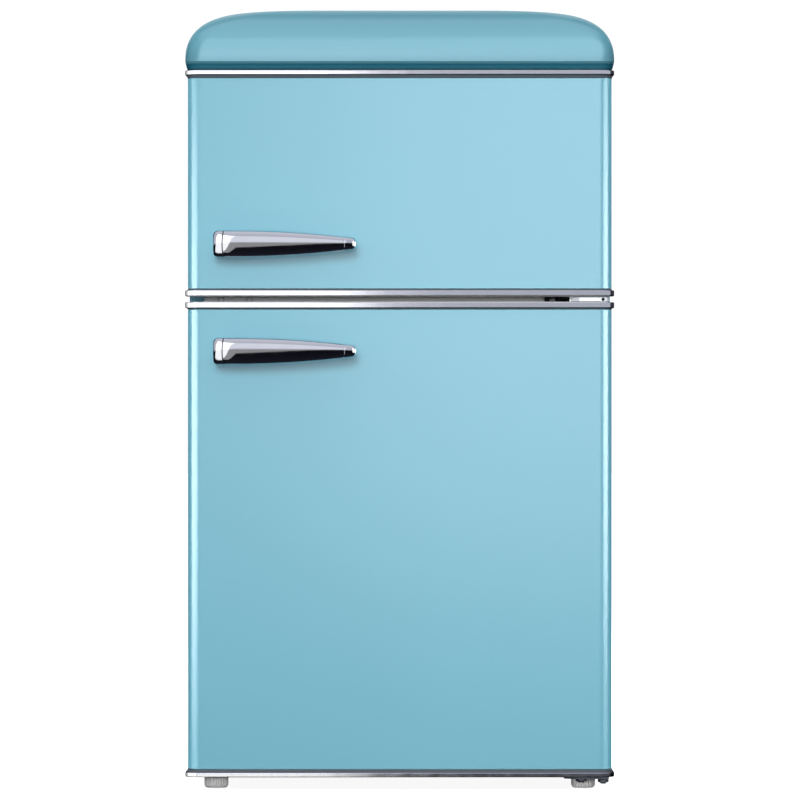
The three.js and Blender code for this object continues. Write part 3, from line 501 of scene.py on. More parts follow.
# ---------------------------------------------------------------- bow handles
GRIP_END = 80 * MM  # half the grip's length
GRIP_TALL = 30 * MM
GRIP_TIP = 14 * MM  # the height it narrows to
GRIP_CORNER = 5 * MM
GRIP_STRAIGHT = 20 * MM  # level at the thick end before it narrows
GRIP_FALL = 7 * MM  # how far the front falls back at both ends
GRIP_DEEP = 13 * MM
GRIP_SQUARE = 0.8  # 1 makes the section an ellipse, less a squarer one
GROOVES = (-GRIP_END + 10.2 * MM, GRIP_END - 13.5 * MM)
# Distances of the sections from each end, in millimetres.
FROM_LEFT = (0, 0.15, 0.5, 1, 1.7, 2.5, 3.4, 4.3, 5.3, 6.6, 8, 9.5, 11, 13, 15.5, 18, 21, 24)
FROM_RIGHT = (0, 0.15, 0.5, 1, 1.7, 2.5, 3.4, 4.3, 5.3, 6.6, 8, 9, 10.5)


def grip_half_height(x):
    """Half the height of the grip at x along it: level at first, then narrowing to the tip."""
    run = 2 * GRIP_END - GRIP_STRAIGHT - GRIP_CORNER
    share = min(1.0, max(0.0, (x + GRIP_END - GRIP_STRAIGHT) / run))
    half = GRIP_TALL / 2 - (GRIP_TALL - GRIP_TIP) / 2 * share**2.1
    into = max(0.0, abs(x) - GRIP_END + GRIP_CORNER) / GRIP_CORNER
    return half - GRIP_CORNER + GRIP_CORNER * math.sqrt(max(0.0, 1 - into * into))


def grip_fall_back(x):
    """How far the grip's front falls back at x: a long curve at the thick end, a short one at the tip."""
    share = min((x + GRIP_END) / (24 * MM), (GRIP_END - x) / (10 * MM), 1.0)
    return GRIP_FALL * (1 - math.sqrt(max(0.0, share * (2 - share))))


def handle_stations():
    """(x, depth of cut) of the grip's sections: close together at the ends and at each groove."""
    xs = [(d * MM - GRIP_END, 0.0) for d in FROM_LEFT] + [(GRIP_END - d * MM, 0.0) for d in FROM_RIGHT]
    first, last = 26 * MM - GRIP_END, GRIP_END - 12 * MM
    xs += [(first + (last - first) * i / 30, 0.0) for i in range(31)]
    for groove in GROOVES:
        xs = [station for station in xs if abs(station[0] - groove) > 1.1 * MM]
        xs += [(groove + dx * MM, cut * MM) for dx, cut in ((-0.6, 0), (-0.35, 0.7), (0.35, 0.7), (0.6, 0))]
    return sorted(xs)


def grip_ring(x, cut, reach):
    """One section, bowed so that the grooves curve round the ends of the grip."""
    sides = 56
    half = grip_half_height(x) - cut
    front = -reach + grip_fall_back(x) + cut
    back = -reach + GRIP_DEEP - MM * (x + GRIP_END) / GRIP_END - cut
    crest = 0.45 * half - 1.5 * MM if half > 5 * MM else 0.15 * half
    depth = (back - front) / 2
    bow = -3.4 * MM * x / GRIP_END * (1 - (abs(x) / GRIP_END) ** 6)
    ring = []
    for a in turns(sides):
        c = math.copysign(abs(math.cos(a)) ** GRIP_SQUARE, math.cos(a))
        s = math.copysign(abs(math.sin(a)) ** GRIP_SQUARE, math.sin(a))
        rise = crest + s * (half - crest if s > 0 else half + crest)
        along = x + bow * (rise / (GRIP_TALL / 2)) ** 2
        ring.append(Vector((along, (front + back) / 2 + depth * c, rise)))
    return ring


def make_handle_leg(door, name, at, x0, x1, half, radius):
    """A leg from inside the door skin to the grip, flared where it meets the door."""
    middle, wide = (x0 + x1) / 2, (x1 - x0) / 2
    rings = []
    for y, flare in ((-21.5, 0.0), (-8, 0.0), (-3, 0.25), (-1, 0.8), (-0.3, 1.2)):
        grow = flare * MM
        path = rounded_loop(wide + grow, -half - grow, half + grow, radius, steps=5)
        rings.append([at + Vector((middle + p[0], y * MM, p[1])) for p in path])
    piece(f"{door}_handle_{name}", *skin(rings), CHROME, door, "chrome")


def make_handle(door):
    low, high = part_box(f"{door}_handle")
    at = Vector(((low.x + high.x) / 2, DOOR_FRONT, (low.z + high.z) / 2))
    reach = DOOR_FRONT - CAD_BOX[0][1]
    grip = place([grip_ring(x, cut, reach) for x, cut in handle_stations()], at)
    piece(f"{door}_handle_grip", *skin(grip), CHROME, door, "chrome", [f"{door}_handle"], 50)
    line = place([grip_ring(GROOVES[0] + dx * MM, 0.3 * MM, reach) for dx in (-0.4, 0.4)], at)
    piece(f"{door}_handle_seam", *skin(line), BLACK_PLASTIC, door, "chrome", sharp=50)
    thick = (2.4 * MM - GRIP_END, 12.6 * MM - GRIP_END)
    make_handle_leg(door, "thick_leg", at, *thick, 11.5 * MM, 4 * MM)
    slim = (GRIP_END - 14.6 * MM, GRIP_END - 4.4 * MM)
    make_handle_leg(door, "slim_leg", at, *slim, 5.2 * MM, 4.8 * MM)


for door in ("fridge_door", "freezer_door"):
    make_door_skin(door)
    make_handle(door)
make_trim("fridge_door", "bottom", BOTTOM_BAR)
make_trim("fridge_door", "top", SEAM_BAR)
make_trim("freezer_door", "bottom", SEAM_BAR)
make_trim("freezer_door", "top", TOP_BAR)


# ---------------------------------------------------------------- feet
FLUTES = 24
# Share of the outer radius, and height in millimetres.
FOOT_PROFILE = (
    (0.62, 0.0), (0.80, 0.15), (0.90, 0.9), (0.955, 2.2),
    (1.0, 3.4), (1.0, 10.6), (0.985, 11.5), (0.95, 12.0),
)
THREAD_CREST = 3.95 * MM
THREAD_ROOT = 3.3 * MM
THREAD_PITCH = 1.5 * MM


def make_front_foot(side):
    node = f"front_foot_{side}"
    low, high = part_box(node)
    centre = (low + high) / 2
    centre.z = 0
    outer = (high.x - low.x) / 2
    rings = []
    for share, z in FOOT_PROFILE:
        depth = (0.85 if 3 < z < 11 else 0.34) * MM
        ring = []
        for a in turns(FLUTES * 6):
            r = outer * share - depth * max(0.0, math.cos(FLUTES * a)) ** 1.5
            ring.append((r * math.cos(a), r * math.sin(a), z * MM))
        rings.append(ring)
    piece(f"{node}_knob", *skin(place(rings, centre)), FOOT_GREY, node, "foot_plastic", [node], 60)
    thread = []
    for k in range(69):
        r = THREAD_CREST if k % 4 in (1, 2) else THREAD_ROOT
        thread.append(circle(r, 12 * MM + k * THREAD_PITCH / 4, 24))
    piece(f"{node}_stud", *skin(place(thread, centre)), STEEL, node, "foot_plastic")


make_front_foot("left")
make_front_foot("right")


# ---------------------------------------------------------------- strip and hinge in the seam
def make_strip_plugs():
    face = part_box("mullion_strip")[0].y
    plug = lathe(in_mm([(0, 0), (3.0, 0), (3.0, 0.35), (2.7, 0.6), (0, 0.62)]), 32)
    rim = lathe(in_mm([(3.05, 0), (3.6, 0), (3.6, 0.3), (3.05, 0.3), (3.05, 0)]), 32)
    for k, x in enumerate((-202, -170)):
        at = (x * MM, face, SEAM)
        piece(f"strip_plug_{k}", *skin(place(plug, at, TO_FRONT)), STRIP, "cabinet", "grey_strip")
        ring = skin(place(rim, at, TO_FRONT), ends=(False, False))
        piece(f"strip_plug_rim_{k}", *ring, BLACK_PLASTIC, "cabinet", "grey_strip")


PLATE_HALF = 4.9 * MM  # half the height of the hinge's plate
LEAF_HALF = 2.2 * MM  # half the thickness of the leaf that carries the pin
LEAF_EYE = 6.4 * MM


def make_hinge_plate(back):
    """The plate on the cabinet, and a black block over its left end round its two screws."""
    low, high = SEAM - PLATE_HALF, SEAM + PLATE_HALF
    plate = rounded_box((164 * MM, back - 2.4 * MM, low), (233 * MM, back, high), 0.7 * MM)
    finish_piece("mid_hinge_plate", plate, HINGE_WHITE, "cabinet", ["mid_hinge_bracket"])
    face = back - 4.2 * MM
    cover = rounded_box((163.6 * MM, face, low), (192 * MM, back - 2.4 * MM, high), 0.8 * MM)
    finish_piece("mid_hinge_cover", cover, BLACK_PLASTIC, "cabinet")
    for k, (x, material) in enumerate(((172.5, STEEL), (185, BLACK_PLASTIC))):
        pan_screw(f"mid_hinge_screw_{k}", (x * MM, face, SEAM - 0.3 * MM), TO_FRONT, "cabinet", 3.6, material)


def make_hinge_leaf(back):
    """The leaf that reaches forward between the doors, its lip and the pin through its eye."""
    x, y = HINGE[0], HINGE[1]
    foot = back - 2 * MM
    outline = [(194 * MM, foot), (194 * MM, y + 5 * MM), (204 * MM, y - LEAF_EYE)]
    outline += [p[:2] for p in arc(x, y, LEAF_EYE, -90, 0, 10)]
    outline += [(x + LEAF_EYE, foot)]
    centre = Vector((215 * MM, -190 * MM, 0))
    edge = 0.35 * MM
    rings = []
    for z, inset in ((-LEAF_HALF, edge), (edge - LEAF_HALF, 0), (LEAF_HALF - edge, 0), (LEAF_HALF, edge)):
        shrink = 1 - inset / (20 * MM)
        raised = centre + Vector((0, 0, SEAM + z))
        rings.append([raised + (Vector((*p, 0)) - centre) * shrink for p in outline])
    piece("mid_hinge_leaf", *skin(rings), HINGE_WHITE, "cabinet", "white_metal")
    low = (202 * MM, y - 7.3 * MM, SEAM - LEAF_HALF)
    high = (224.5 * MM, y - 5.4 * MM, SEAM + LEAF_HALF)
    finish_piece("mid_hinge_lip", rounded_box(low, high, 0.4 * MM), HINGE_WHITE, "cabinet")
    at = (x - 0.4 * MM, y - 6.3 * MM, SEAM)
    pan_screw("mid_hinge_grub_screw", at, TO_FRONT, "cabinet", 1.9, BLACK_PLASTIC)
    reach = (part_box("mid_hinge_bracket")[1].z - SEAM) / MM
    half = in_mm([(0, -reach), (3.2, -reach), (4, 1.2 - reach), (4, -2.6), (5.6, -2.6)])
    pin = lathe(half + [(r, -z) for r, z in reversed(half)])
    piece("mid_hinge_pin", *skin(place(pin, (x, y, SEAM))), STEEL, "cabinet", "white_metal")


def make_bottom_hinge_fittings():
    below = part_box("bottom_hinge_bracket")[0].z
    section = [(0, 0), (4.6, 0), (6.2, 0.8), (6.2, 3.2), (4.6, 4.0), (3.2, 4.0), (3.2, 5.4), (0, 5.6)]
    nut = lathe(in_mm(section), 6)
    for k, (x, y) in enumerate(((HINGE[0], HINGE[1]), (205 * MM, -188 * MM))):
        rings = place(nut, (x, y, below), TO_BELOW)
        piece(f"bottom_hinge_nut_{k}", *skin(rings), STEEL, "cabinet", "zinc_steel", sharp=20)
    for k, y in enumerate((-165, -135)):
        pan_screw(f"bottom_hinge_screw_{k}", (226 * MM, y * MM, below), TO_BELOW, "cabinet", 4.0)


make_strip_plugs()
make_hinge_plate(CABINET_FRONT - 0.3 * MM)
make_hinge_leaf(CABINET_FRONT - 0.3 * MM)
make_bottom_hinge_fittings()


# ---------------------------------------------------------------- door gaskets
GASKET_HALF = 7.5
# (outward, rearward) points of the bellows section in millimetres.
GASKET_SECTION = (
    (-4, 0.3), (4, 0.3), (6.2, 1.2), (6.6, 2.0), (4.6, 3.2), (4.6, 3.9), (7.0, 4.9), (7.5, 5.8), (7.5, 7.7),
    (6.9, 8.6), (-6.9, 8.6), (-7.5, 7.7), (-7.5, 5.8), (-7.0, 4.9), (-4.6, 3.9), (-4.6, 3.2), (-6.6, 2.0),
    (-6.2, 1.2),
)


def make_gasket(door):
    """A mitred bellows seal round the door's back; it ends just short of the cabinet."""
    node = f"{door}_gasket"
    low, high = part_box(node)
    inset = GASKET_HALF * MM
    rings = []
    for sx, sz in ((1, -1), (1, 1), (-1, 1), (-1, -1), (1, -1)):
        x = sx * (high.x - inset)
        z = high.z - inset if sz > 0 else low.z + inset
        rings.append([(x + sx * o * MM, DOOR_BACK + y * MM, z + sz * o * MM) for o, y in GASKET_SECTION])
    piece(f"{door}_seal", *skin(rings, ends=(False, False)), RUBBER, door, "gasket_rubber", [node], 50)


make_gasket("fridge_door")
make_gasket("freezer_door")


# ---------------------------------------------------------------- bins in the doors
def make_bin(node, door):
    low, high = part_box(node)
    path = rounded_loop(high.x, low.y, high.y, 3 * MM, 16 * MM)
    tall = (high.z - low.z) / MM
    outside = [(-3.0, 0.0), (-1.2, 0.3), (-0.3, 1.2), (0.0, 3.0), (0.0, tall - 6.5)]
    rim = [(1.1, tall - 5.8), (1.3, tall - 5.0), (1.3, tall - 0.8), (0.8, tall), (-1.6, tall)]
    inside = [(-2.2, tall - 0.7), (-2.2, 4.4), (-2.6, 3.0), (-4.0, 2.2)]
    rings = []
    for o, z in in_mm(outside + rim + inside):
        rings.append([(x + nx * o, y + ny * o, low.z + z) for x, y, nx, ny in path])
    piece(f"{node}_moulding", *skin(rings), CLEAR, door, "clear_plastic", [node], 40)


for node, door in (
    ("fridge_door_bin_lower", "fridge_door"),
    ("fridge_door_bin_middle", "fridge_door"),
    ("fridge_door_bin_upper", "fridge_door"),
    ("freezer_door_rack", "freezer_door"),
):
    make_bin(node, door)


# ---------------------------------------------------------------- tubes, wires and machinery
def tube(points, radius, bend=0.0, sides=16):
    """Rings of a round tube through points in metres, its corners rounded by bend."""
    points = [Vector(p) for p in points]
    line = [points[0]]
    for before, here, after in zip(points, points[1:], points[2:]):
        start = here + (before - here).normalized() * bend
        end = here + (after - here).normalized() * bend
        line += [start.lerp(here, t).lerp(here.lerp(end, t), t) for t in [i / 8 for i in range(9)]]
    line.append(points[-1])
    first = (line[1] - line[0]).normalized()
    side = Vector((0, 1, 0)) if abs(first.x) > 0.9 else Vector((1, 0, 0))
    rings = []
    for i, p in enumerate(line):
        along = (line[min(i + 1, len(line) - 1)] - line[max(i - 1, 0)]).normalized()
        side = (side - along * side.dot(along)).normalized()
        up = along.cross(side)
        turn = [2 * math.pi * k / sides for k in range(sides)]
        rings.append([p + side * radius * math.cos(a) + up * radius * math.sin(a) for a in turn])
    return rings


def joined(pieces_of_skin):
    """Several skins as one list of points and faces."""
    verts, faces = [], []
    for v, f in pieces_of_skin:
        base = len(verts)
        verts += v
        faces += [tuple(base + i for i in face) for face in f]
    return verts, faces


RACK_BARS = 12


def make_freezer_rack():
    low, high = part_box("freezer_rack")
    thick, thin, brace = 2.5 * MM, 1.5 * MM, 2 * MM
    z = low.z + thick
    x, front, back = high.x - thick, low.y + thick, high.y - thick
    frame_line = [(0, front, z), (-x, front, z), (-x, back, z), (x, back, z), (x, front, z), (0, front, z)]
    parts = [skin(tube(frame_line, thick, 10 * MM))]
    for i in range(1, RACK_BARS):
        bar_x = -x + 2 * x * i / RACK_BARS
        top = z + 2.2 * MM
        line = [(bar_x, front - 1.5 * MM, top), (bar_x, back + 1.5 * MM, top)]
        parts.append(skin(tube(line, thin, 0, 12)))
    cross = [(-x, 45 * MM, z - 0.5 * MM), (x, 45 * MM, z - 0.5 * MM)]
    parts.append(skin(tube(cross, brace, 0, 12)))
    piece("freezer_wire_rack", *joined(parts), WHITE_METAL, "cabinet", "white_metal", ["freezer_rack"], 50)


SHELL_AT = (80 * MM, 190 * MM, 34 * MM)  # the middle of the compressor's foot
SHELL_RADIUS = 58
SHELL_DOME = 34


def make_compressor():
    low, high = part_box("compressor")
    x, y, z = SHELL_AT
    tall = (high.z - z) / MM
    profile = [(0, 0), (40, 0), (50, 3), (56, 8), (58, 14), (58, 46), (58.6, 47.5), (60, 48), (60, 51.5)]
    profile += [(58.8, 52), (60, 52.4), (60, 56), (58.4, 57), (SHELL_RADIUS, tall - SHELL_DOME)]
    for i in range(1, 15):
        a = math.pi / 2 * i / 15
        profile.append((SHELL_RADIUS * math.cos(a) ** 0.7, tall - SHELL_DOME + SHELL_DOME * math.sin(a)))
    profile.append((0, tall))
    shell = skin(place(lathe(in_mm(profile), 64), SHELL_AT))
    piece("compressor_shell", *shell, BLACK_ENAMEL, "cabinet", "black_enamel", ["compressor"], 30)
    half_wide, half_deep = 72 * MM, 36 * MM
    corner = (x + half_wide, y + half_deep, z + 2 * MM)
    plate = rounded_box((x - half_wide, y - half_deep, z - MM), corner, 0.9 * MM)
    finish_piece("compressor_base", plate, BLACK_ENAMEL, "cabinet")
    mount = lathe(in_mm([(0, 0), (7, 0), (7.4, 1), (6.2, 2.4), (7.2, 4), (7.2, 6.4), (0, 6.4)]), 28)
    for k, (sx, sy) in enumerate(((-1, -1), (-1, 1), (1, -1), (1, 1))):
        at = (x + sx * 62 * MM, y + sy * 27 * MM, low.z)
        piece(f"compressor_mount_{k}", *skin(place(mount, at)), BLACK_PLASTIC, "cabinet", "black_enamel")
        bolt = (at[0], at[1], z + 2 * MM)
        pan_screw(f"compressor_bolt_{k}", bolt, Matrix.Identity(3), "cabinet", 5.0)


def make_pipe(name, node, start, steps, radius, bend):
    """A pipe from a point in metres through moves in millimetres, replacing a CAD tube."""
    line = [Vector(start)]
    for step in steps:
        line.append(line[-1] + Vector(step) * MM)
    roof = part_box("drain_spout")[1].z
    line.append(Vector((line[-1].x, line[-1].y, roof)))
    piece(name, *skin(tube(line, radius * MM, bend * MM)), COPPER, "cabinet", "copper", [node])


def make_drier():
    low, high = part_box("filter_drier")
    x, y = (low.x + high.x) / 2, (low.y + high.y) / 2
    tall = (high.z - low.z) / MM
    profile = [(0, 0), (2.2, 0), (2.2, 24), (2.6, 26), (5, 29), (8.2, 32.5), (9, 35), (9, 90)]
    profile += [(8.2, 93), (5, 97), (2.6, 101), (2.2, 103), (2.2, tall), (0, tall)]
    body = skin(place(lathe(in_mm(profile), 36), (x, y, low.z)))
    piece("filter_drier_body", *body, COPPER, "cabinet", "copper", ["filter_drier"], 40)


def make_pipes():
    x, y = SHELL_AT[0] + 60.3 * MM, SHELL_AT[1]
    suction = [(42, 0, 0), (0, 0, 44), (0, -40, 0)]
    make_pipe("suction_pipe", "suction_tube", (x, y, 96 * MM), suction, 3.2, 14)
    discharge = [(22, 0, 0), (0, -56, 0), (0, 0, 85), (48, 0, 0)]
    make_pipe("discharge_pipe", "discharge_tube", (x, y, 70 * MM), discharge, 2.6, 12)
    make_drier()


make_freezer_rack()
make_compressor()
make_pipes()


# ---------------------------------------------------------------- back panel
PANEL_COLUMNS = 120
PANEL_ROWS = 150
PRESSED_STEP = 1.05 * MM  # the edge lies this far in from the field
BEAD_DEPTH = 0.9 * MM
BEAD_HALF = 150 * MM
BEAD_RADIUS = 11 * MM
SCREW_EDGE = 8 * MM


def pressed_surface(low, high, x, z):
    """The y of the rear panel's outside at x and z."""
    edge = min(x - low.x, high.x - x, z - low.z, high.z - z)
    share = min(1.0, max(0.0, (edge - 15 * MM) / (5 * MM)))
    y = high.y - PRESSED_STEP * (1 - share * share * (3 - 2 * share))
    for centre in (0.28, 0.5, 0.72):
        across = abs(z - (low.z + (high.z - low.z) * centre))
        along = max(0.0, abs(x) - BEAD_HALF)
        away = math.hypot(across, along) / BEAD_RADIUS
        if away < 1:
            y -= BEAD_DEPTH * (1 - away * away) ** 2
    return y


def make_back_panel():
    """Pressed sheet: a stepped edge that the screws sit on, and long stiffening beads."""
    low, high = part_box("back_panel")
    inner = high.y - 1.25 * MM
    wide = PANEL_COLUMNS + 1
    verts, faces = [], []
    for j in range(PANEL_ROWS + 1):
        for i in range(wide):
            x = low.x + (high.x - low.x) * i / PANEL_COLUMNS
            z = low.z + (high.z - low.z) * j / PANEL_ROWS
            verts.append((x, pressed_surface(low, high, x, z), z))
    for j in range(PANEL_ROWS):
        for i in range(PANEL_COLUMNS):
            a = j * wide + i
            faces.append((a, a + 1, a + wide + 1, a + wide))
    border = list(range(wide))
    border += [j * wide + PANEL_COLUMNS for j in range(1, PANEL_ROWS + 1)]
    border += [PANEL_ROWS * wide + i for i in range(PANEL_COLUMNS - 1, -1, -1)]
    border += [j * wide for j in range(PANEL_ROWS - 1, 0, -1)]
    base = len(verts)
    verts += [(verts[k][0], inner, verts[k][2]) for k in border]
    n = len(border)
    faces += [(border[k], border[(k + 1) % n], base + (k + 1) % n, base + k) for k in range(n)]
    faces.append(tuple(base + k for k in range(n)))
    piece("pressed_back_panel", verts, faces, GALVANISED, "cabinet", "galvanised", ["back_panel"], 30)


def make_back_panel_screws():
    low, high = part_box("back_panel")
    ends = (low.z + SCREW_EDGE, high.z - SCREW_EDGE)
    levels = (ends[0], 0.36, 0.52, 0.67, ends[1])
    spots = [(x, z) for x in (low.x + SCREW_EDGE, high.x - SCREW_EDGE) for z in levels]
    spots += [(x, z) for x in (-0.08, 0.08) for z in ends]
    section = [(0, 0), (4.2, 0), (4.2, 0.15), (3.4, 0.6), (1.8, 0.95), (0.9, 0.98), (0.7, 0.6), (0, 0.5)]
    head = lathe(in_mm(section), 20)
    for k, (x, z) in enumerate(spots):
        rings = place(head, (x, high.y - PRESSED_STEP, z), TO_BACK)
        piece(f"back_panel_screw_{k}", *skin(rings), STEEL, "cabinet", "zinc_steel")


make_back_panel()
make_back_panel_screws()


# ---------------------------------------------------------------- fittings in the rooms
# (rearward, up) points in millimetres from the glass's lower front edge.
SHELF_SECTION = (
    (-1.6, -1.8), (0.4, -1.8), (8.5, -1.6), (9.0, -1.2), (9.0, -0.1), (1.2, -0.1), (1.2, 4.1),
    (9.0, 4.1), (9.0, 5.0), (8.5, 5.4), (0.0, 5.6), (-1.6, 5.0), (-2.4, 3.6), (-2.6, 1.8), (-2.4, 0.0),
)


def make_shelf_edge(node):
    """The moulded strip along the front of a glass shelf."""
    low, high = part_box(node)
    half = high.x - 0.3 * MM
    rings = [[(x, low.y + y * MM, low.z + z * MM) for y, z in SHELF_SECTION] for x in (-half, half)]
    piece(f"{node}_edge", *skin(rings), WHITE_ABS, "cabinet", "white_abs", sharp=30)


for node in ("glass_shelf_upper", "glass_shelf_lower", "crisper_cover_glass"):
    make_shelf_edge(node)


TO_LEFT = Matrix.Rotation(math.radians(-90), 3, "Y")  # +Z becomes -X
DIAL_PROFILE = ((17, 0), (17, 1.2), (16.6, 1.6), (15.6, 4.2), (14.6, 5.0), (13.6, 5.1))
GRIP_BAR = ((4.6, 0.0), (8.8, 0.0), (9.6, -0.4), (9.95, -1.0))  # height, growth of the outline
MARKS = 10
MARK_RADIUS = 19.4
MARK_FACES = [(0, 1, 3, 2), (2, 3, 5, 4), (4, 5, 7, 6), (6, 7, 1, 0), (0, 2, 4, 6), (1, 7, 5, 3)]


def make_dial_marks(centre):
    """Plain marks in a ring on the housing, the first and the last a little longer."""
    marks = []
    for k in range(MARKS):
        far = MARK_RADIUS + (3.4 if k in (0, MARKS - 1) else 2.2)
        section = ((MARK_RADIUS, 0), (far, 0), (far, 0.15), (MARK_RADIUS, 0.15))
        spin = Matrix.Rotation(math.radians(-45 + 30 * k), 3, "Z")
        box = [Vector((side, r, h)) * MM for r, h in section for side in (-0.35, 0.35)]
        points = [TO_LEFT @ (spin @ p) + centre + Vector((0.25 * MM, 0, 0)) for p in box]
        marks.append((points, MARK_FACES))
    piece("dial_marks", *joined(marks), MARK_GREY, "cabinet", "black_plastic")


def make_dial():
    """A knurled dial with a grip bar, and a ring of marks round it."""
    low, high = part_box("thermostat_dial")
    centre = Vector((high.x, (low.y + high.y) / 2, (low.z + high.z) / 2))
    rings = []
    for r, h in DIAL_PROFILE:
        ring = []
        for i, a in enumerate(turns(120)):
            ridge = 0.35 if i % 4 < 2 and 1 < h < 4.6 else 0.0
            ring.append(((r - ridge) * MM * math.cos(a), (r - ridge) * MM * math.sin(a), h * MM))
        rings.append(ring)
    knob = skin(place(rings, centre, TO_LEFT))
    piece("dial_knob", *knob, WHITE_ABS, "thermostat_dial", "white_abs", ["thermostat_dial"], 30)
    rings = []
    for h, grow in GRIP_BAR:
        half, reach, radius = (2.4 + grow) * MM, (13 + grow) * MM, (1.6 + grow) * MM
        rings.append([(p[1], p[0], h * MM) for p in rounded_loop(half, -reach, reach, radius, steps=5)])
    bar = skin(place(rings, centre, TO_LEFT))
    piece("dial_grip_bar", *bar, WHITE_ABS, "thermostat_dial", "white_abs")
    make_dial_marks(centre)


make_dial()


# ---------------------------------------------------------------- CAD nodes that keep their shape
def dress(node, material, bevel):
    """A carried-over CAD node: its material, smooth shading and slightly broken edges."""
    obj = frame["nodes"][node]
    mesh = obj.data
    if "custom_normal" in mesh.attributes:
        mesh.attributes.remove(mesh.attributes["custom_normal"])
    mesh.materials.clear()
    mesh.materials.append(material)
    for polygon in mesh.polygons:
        polygon.use_smooth = True
        polygon.material_index = 0
    weld = obj.modifiers.new("weld", "WELD")
    weld.merge_threshold = 1e-5
    if bevel:
        soften = obj.modifiers.new("bevel", "BEVEL")
        soften.width = bevel * MM
        soften.segments = 2
        soften.limit_method = "ANGLE"
        soften.angle_limit = math.radians(40)
        soften.harden_normals = True
        soften.use_clamp_overlap = True


ENDS = [f"{door}_{side}_end_cap" for door in ("fridge_door", "freezer_door") for side in ("bottom", "top")]
# Material, bevel in millimetres, and the nodes that get them.
DRESSED = (
    (AQUA_BODY_PAINTED_SHEEN, 0.45, ["side_panel_left", "side_panel_right"]),
    (AQUA_BODY_PAINTED_SHEEN, 0.3, ["top_panel"]),
    (GALVANISED, 0.3, ["compressor_bay_panel"]),
    (GALVANISED, 0.4, ["compressor_rail"]),
    (STEEL, 0.3, ["base_plate"]),
    (STEEL, 0.4, ["top_hinge_bracket", "bottom_hinge_bracket"]),
    (STRIP, 0.25, ["mullion_strip"]),
    (FOAM, 0, ["cabinet_insulation", "fridge_door_insulation", "freezer_door_insulation"]),
    (WHITE_ABS, 0.4, ENDS),
    (WHITE_ABS, 0.5, ["cabinet_liner"]),
    (WHITE_ABS, 0.8, ["door_switch", "door_switch_button"]),
    (WHITE_ABS, 1.2, ["fridge_door_liner", "freezer_door_liner"]),
    (WHITE_ABS, 1.5, ["thermostat_housing"]),
    (DIFFUSER, 1.0, ["lamp_lens"]),
    (GLASS, 0.5, ["glass_shelf_upper", "glass_shelf_lower", "crisper_cover_glass"]),
    (CLEAR, 0.8, ["crisper_drawer"]),
    (BLACK_PLASTIC, 0.3, ["cord_grommet", "drain_spout"]),
    (BLACK_PLASTIC, 0.6, ["drip_tray"]),
    (BLACK_PLASTIC, 0.8, ["rear_foot_left", "rear_foot_right"]),
    (BLACK_PLASTIC, 1.0, ["terminal_box"]),
    (COPPER, 0, ["condenser_tube"]),
    (ALUMINIUM, 0.3, ["evaporator_plate"]),
)
for material, bevel, nodes in DRESSED:
    for node in nodes:
        dress(node, material, bevel)


# ---------------------------------------------------------------- camera, stage and lights
CAMERA_DISTANCE = 7.0
FRAMED_WIDTH = 0.8967  # what the frame spans at the face of the trims
EYE = (0.0003, 0.4395)  # across and up
SENSOR = 36.0


def make_camera():
    data = bpy.data.cameras.new("camera")
    data.sensor_width = SENSOR
    data.lens = SENSOR * CAMERA_DISTANCE / FRAMED_WIDTH
    data.clip_end = 200.0
    camera = bpy.data.objects.new("camera", data)
    camera.location = (EYE[0], TRIM_FRONT - CAMERA_DISTANCE, EYE[1])
    camera.rotation_euler = (math.radians(90), 0, 0)
    bpy.context.scene.collection.objects.link(camera)
    bpy.context.scene.camera = camera


def emission(name, colour, strength):
    material = bpy.data.materials.new(name)
    material.use_nodes = True
    tree = material.node_tree
    tree.nodes.clear()
    out = tree.nodes.new("ShaderNodeOutputMaterial")
    glow = tree.nodes.new("ShaderNodeEmission")
    glow.inputs["Color"].default_value = (*colour, 1)
    glow.inputs["Strength"].default_value = strength
    tree.links.new(glow.outputs["Emission"], out.inputs["Surface"])
    return material


def staged(name, verts, faces, material):
    mesh = bpy.data.meshes.new(name)
    mesh.from_pydata(verts, [], faces)
    mesh.materials.append(material)
    obj = bpy.data.objects.new(name, mesh)
    bpy.context.scene.collection.objects.link(obj)
    return obj


def pale_floor_material():
    """A white floor that still takes a faint contact shadow."""
    material = bpy.data.materials.new("pale_floor")
    material.use_nodes = True
    tree = material.node_tree
    shader = tree.nodes["Principled BSDF"]
    shader.inputs["Base Color"].default_value = (0.8, 0.8, 0.8, 1)
    shader.inputs["Roughness"].default_value = 0.9
    shader.inputs["Specular IOR Level"].default_value = 0.0
    shader.inputs["Emission Color"].default_value = (1, 1, 1, 1)
    shader.inputs["Emission Strength"].default_value = 0.93
    return material


STAGE_HALF = 30.0


def make_stage():
    """The floor, and a white room that only the camera sees: the chrome mirrors the world behind it."""
    corners = ((-1, -1), (1, -1), (1, 1), (-1, 1))
    points = [(STAGE_HALF * x, STAGE_HALF * y, 0) for x, y in corners]
    floor = staged("floor", points, [(0, 1, 2, 3)], pale_floor_material())
    verts, faces = skin([circle(STAGE_HALF, z, 48) for z in (-1.0, 25.0)])
    room = staged("white_room", verts, faces, emission("white_room", (1, 1, 1), 1.05))
    for obj in (floor, room):
        obj.visible_diffuse = False
        obj.visible_glossy = False
        obj.visible_shadow = False
    room.visible_transmission = False


